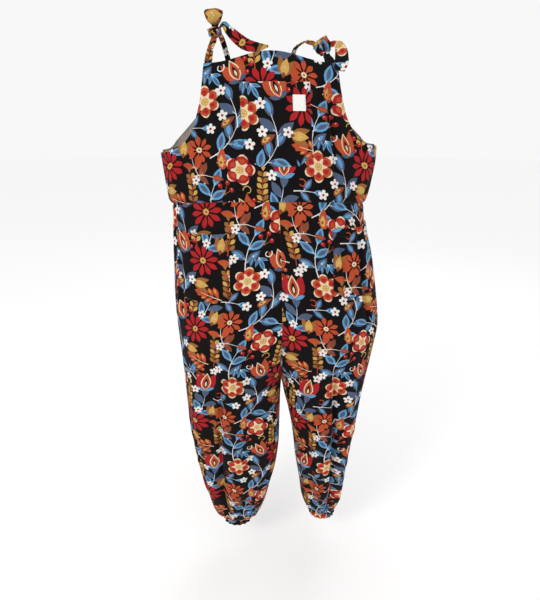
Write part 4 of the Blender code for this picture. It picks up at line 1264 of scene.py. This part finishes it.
# ---------------------------------------------------------------- the garment
cotton = cloth_material("printed_cotton")
wrong_side = cloth_material("cotton_wrong_side", PALE)
thread = plain_material("sewing_thread", (0.030, 0.030, 0.036))
white_thread = plain_material("label_thread", (0.62, 0.62, 0.60))
label_cloth = plain_material("label_cloth", (0.80, 0.80, 0.78), 0.2)

panels = {
    "bodice_front": bodice_panel("bodice_front", FRONT_EDGES, False),
    "bodice_back": bodice_panel("bodice_back", BACK_EDGES, True),
}
for face, back in (("front", False), ("back", True)):
    for way, leg, inseam, side in (("left", LEFT_LEG, 1, -1), ("right", RIGHT_LEG, 2, 1)):
        name = f"trouser_{face}_{way}"
        panels[name] = leg_panel(name, leg, inseam, side, back)

EDGE_NEAR = 0.001  # a cut edge this near to an open hem shows the pale side

# Where the print's corner lies on each panel's cloth
PANEL_OFFSETS = {
    "bodice_front": (0.046, 0.010), "bodice_back": (0.120, 0.080),
    "trouser_front_left": (0.030, 0.060), "trouser_front_right": (0.150, 0.180),
    "trouser_back_left": (0.090, 0.130), "trouser_back_right": (0.010, 0.210),
}
for name, panel in panels.items():
    pale_rim = None
    if "bodice" in name:
        pale_rim = lambda places: distances(places, panel.hems) < EDGE_NEAR
    clothe(name + "_cloth", name, anticlockwise(panel.outline), PANEL_OFFSETS[name], MESH_SIZE,
           (FIRST_ROW, 0.0036), backed(panel.surface, CLOTH),
           wrong_side, pale_rim)
    sewing = Sewing(name + "_stitches")
    if "bodice" in name:
        for key, distance in (("armhole_left", HEM_ROW), ("top", HEM_ROW),
                              ("armhole_right", HEM_ROW), ("waist", WAIST_ROW)):
            line = resampled(panel.lines[key], 0.003)
            sewing.line(panel.surface, line, -panel.sense * distance)
    else:
        turns = np.linspace(radians(88), -radians(88), 240)
        for height in ELASTIC_ROWS:
            sewing.line(panel.surface, resampled(panel.flat(np.full(240, height), turns), 0.002))
    sewing.finish(thread, "printed_cotton")

# Pockets: panel, middle, top, whether the middle is measured from the seam, droop, print offset
half, low = POCKET_WIDTH / 2, POCKET_DEPTH - POCKET_CUT_DEPTH
corners = np.array(((-half, 0), (-half, -low), (-half + POCKET_CUT_WIDTH, -POCKET_DEPTH),
                    (half - POCKET_CUT_WIDTH, -POCKET_DEPTH), (half, -low), (half, 0), (-half, 0)))
hip = HIP_POCKET_START + half
POCKETS = {
    "bib_pocket": ("bodice_front", BIB_POCKET_CENTRE, BIB_POCKET_TOP, False, 0, (0.120, 0.035)),
    "hip_pocket_left": ("trouser_front_left", hip, HIP_POCKET_TOPS[0], True, HIP_POCKET_SAG,
                        (0.075, 0.020)),
    "hip_pocket_right": ("trouser_front_right", hip, HIP_POCKET_TOPS[1], True, HIP_POCKET_SAG,
                         (0.190, 0.110)),
}
patches = {}
for name, (under, *own, offset) in POCKETS.items():
    patches[name] = patch = Patch(panels[under], *own)
    clothe(name + "_cloth", name, anticlockwise(even_points(corners, EDGE_STEP)[:-1]), offset,
           PATCH_MESH, (FIRST_ROW, 0.0040), backed(patch.surface, CLOTH),
           wrong_side)
    sewing = Sewing(name + "_stitches")
    inside = (1 - 2 * PATCH_ROW / POCKET_WIDTH, 1 - PATCH_ROW / POCKET_DEPTH)
    sewing.line(patch.surface, even_points(corners[:-1] * inside, 0.003))
    sewing.line(patch.surface, np.stack((np.linspace(-half, half, 60),
                                         np.full(60, -POCKET_HEM)), -1))
    sewing.finish(thread, "printed_cotton")


# The bare woven label, sewn down on the bib pocket at its two ends
def label_surface(flat):
    place = flat + (LABEL_OFFSET, LABEL_TOP - BIB_POCKET_TOP)
    point, normal = patches["bib_pocket"].surface(place)
    lift = LABEL_CLOTH + LABEL_GAP + 0.0007 * np.cos(pi * flat[:, 0] / LABEL_WIDTH)
    lift += 0.0003 * np.sin(flat[:, 1] * 260 + 1.0)
    return point + normal * lift[:, None], normal


wide, deep = LABEL_WIDTH / 2, LABEL_DEPTH
corners = np.array(((-wide, 0), (-wide, -deep), (wide, -deep), (wide, 0), (-wide, 0)))
points = [Vector(p) for p in anticlockwise(even_points(corners, LABEL_MESH)[:-1])]
grid = [Vector((u, w)) for u in np.arange(-wide + LABEL_MESH, wide, LABEL_MESH)
        for w in np.arange(-deep + LABEL_MESH, 0, LABEL_MESH)]
found = delaunay_2d_cdt(points + grid, [], [list(range(len(points)))], 1, 1e-6, True)
flat, tris = np.array([tuple(p) for p in found[0]]), np.array(found[2])
label = shell("bib_label_cloth", flat, tris, np.full((len(tris), 3), 0.8),
              *backed(label_surface, LABEL_CLOTH)(flat), (label_cloth, label_cloth))
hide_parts("bib_label")
sewing = Sewing("bib_label_stitches")
for side in (-1, 1):
    sewing.line(label_surface, np.stack((np.full(20, side * (wide - 0.002)),
                                         np.linspace(-0.001, -deep + 0.001, 20)), -1))
sewing.finish(white_thread, "label_cloth")

# Straps, bow loop and tie ends: print offset, then the panel a strap is sewn to and the share of
# its width
TIES = {
    "strap_front_left": ((-0.220, -0.058), "bodice_front", 0.035),
    "strap_front_right": ((0.100, 0.130), "bodice_front", 0.950),
    "strap_back_left": ((0.180, 0.070), "bodice_back", 0.140),
    "strap_back_right": ((-0.220, -0.060), "bodice_back", 0.760),
    "bow_loop_left": ((-0.155, -0.308),),
    "tie_end_left": ((-0.163, -0.415),),
    "tie_end_right": ((-0.041, -0.353),),
}
for name, (offset, *sewn_to) in TIES.items():
    knot = "knot_left" if "left" in name else "knot_right"
    stops = tucked(STRAPS[name], KNOTS[knot])
    if sewn_to:
        stops = sewn_in(stops, panels[sewn_to[0]], sewn_to[1])
    elif "loop" in name:
        stops = tucked(stops, KNOTS[knot], True)
    band = lay_band(name + "_cloth", stops, offset, name)
    sewing = Sewing(name + "_stitches")
    s = np.linspace(0.004, band.length - 0.006, 200)
    for side in (-1, 1):
        across = side * (np.interp(s, band.along, band.width) / 2 - STRAP_ROW)
        outer, inner, normal = band.surfaces(np.stack((across, -s), -1))
        sewing.row(outer + normal * THREAD * 0.4, normal)
        sewing.row(inner - normal * THREAD * 0.4, -normal)
    sewing.finish(thread, "printed_cotton")

for name, size in KNOTS.items():
    knot_core(name, size, (0.06, 0.11))
    for k, own in enumerate(KNOT_TURNS[name]):
        lay_band(f"{name}_turn_{k + 1}", wound(size, *own), (0.03 + 0.05 * k, 0.04 + 0.07 * k),
                 None)


# ---------------------------------------------------------------- stage
def area_light(name, place, target_height, size, power, colour):
    data = bpy.data.lights.new(name, "AREA")
    data.shape, data.size, data.energy, data.color = "DISK", size, power, colour
    light = placed(name, data)
    light.location = place
    aim = Vector((0, 0, target_height)) - light.location
    light.rotation_euler = aim.to_track_quat("-Z", "Y").to_euler()


mesh = bpy.data.meshes.new("floor")
rim = circle(FLOOR_RADIUS, 96)
mesh.from_pydata([(x, y, FLOOR_HEIGHT) for x, y in rim], [], [list(range(len(rim)))])
mesh.materials.append(material("studio_floor", {
    "Base Color": (0.985, 0.985, 0.985, 1), "Roughness": 0.9, "Specular IOR Level": 0.15})[0])
placed("floor", mesh)

scene = bpy.context.scene
world = bpy.data.worlds.new("studio")
world.use_nodes = True
background = world.node_tree.nodes["Background"].inputs
background["Color"].default_value = (*WHITE, 1)
background["Strength"].default_value = 0.94
scene.world = world
area_light("key", (-1.9, -2.6, 1.5), -0.55, 1.1, 36, (1.0, 0.98, 0.95))
area_light("fill", (2.4, -2.0, 0.4), -0.70, 2.2, 5, (0.94, 0.97, 1.0))
area_light("back", (1.2, 2.6, 1.6), -0.60, 2.0, 10, WHITE)
scene.view_settings.view_transform = "Standard"

lens = bpy.data.cameras.new("camera")
lens.sensor_fit = "VERTICAL"
lens.sensor_height, lens.lens, lens.clip_start = 24, 18, 0.01
camera = placed("camera", lens)
camera.location = (0, -1.10, -0.191)
camera.rotation_euler = (radians(70), 0, 0)
scene.camera = camera
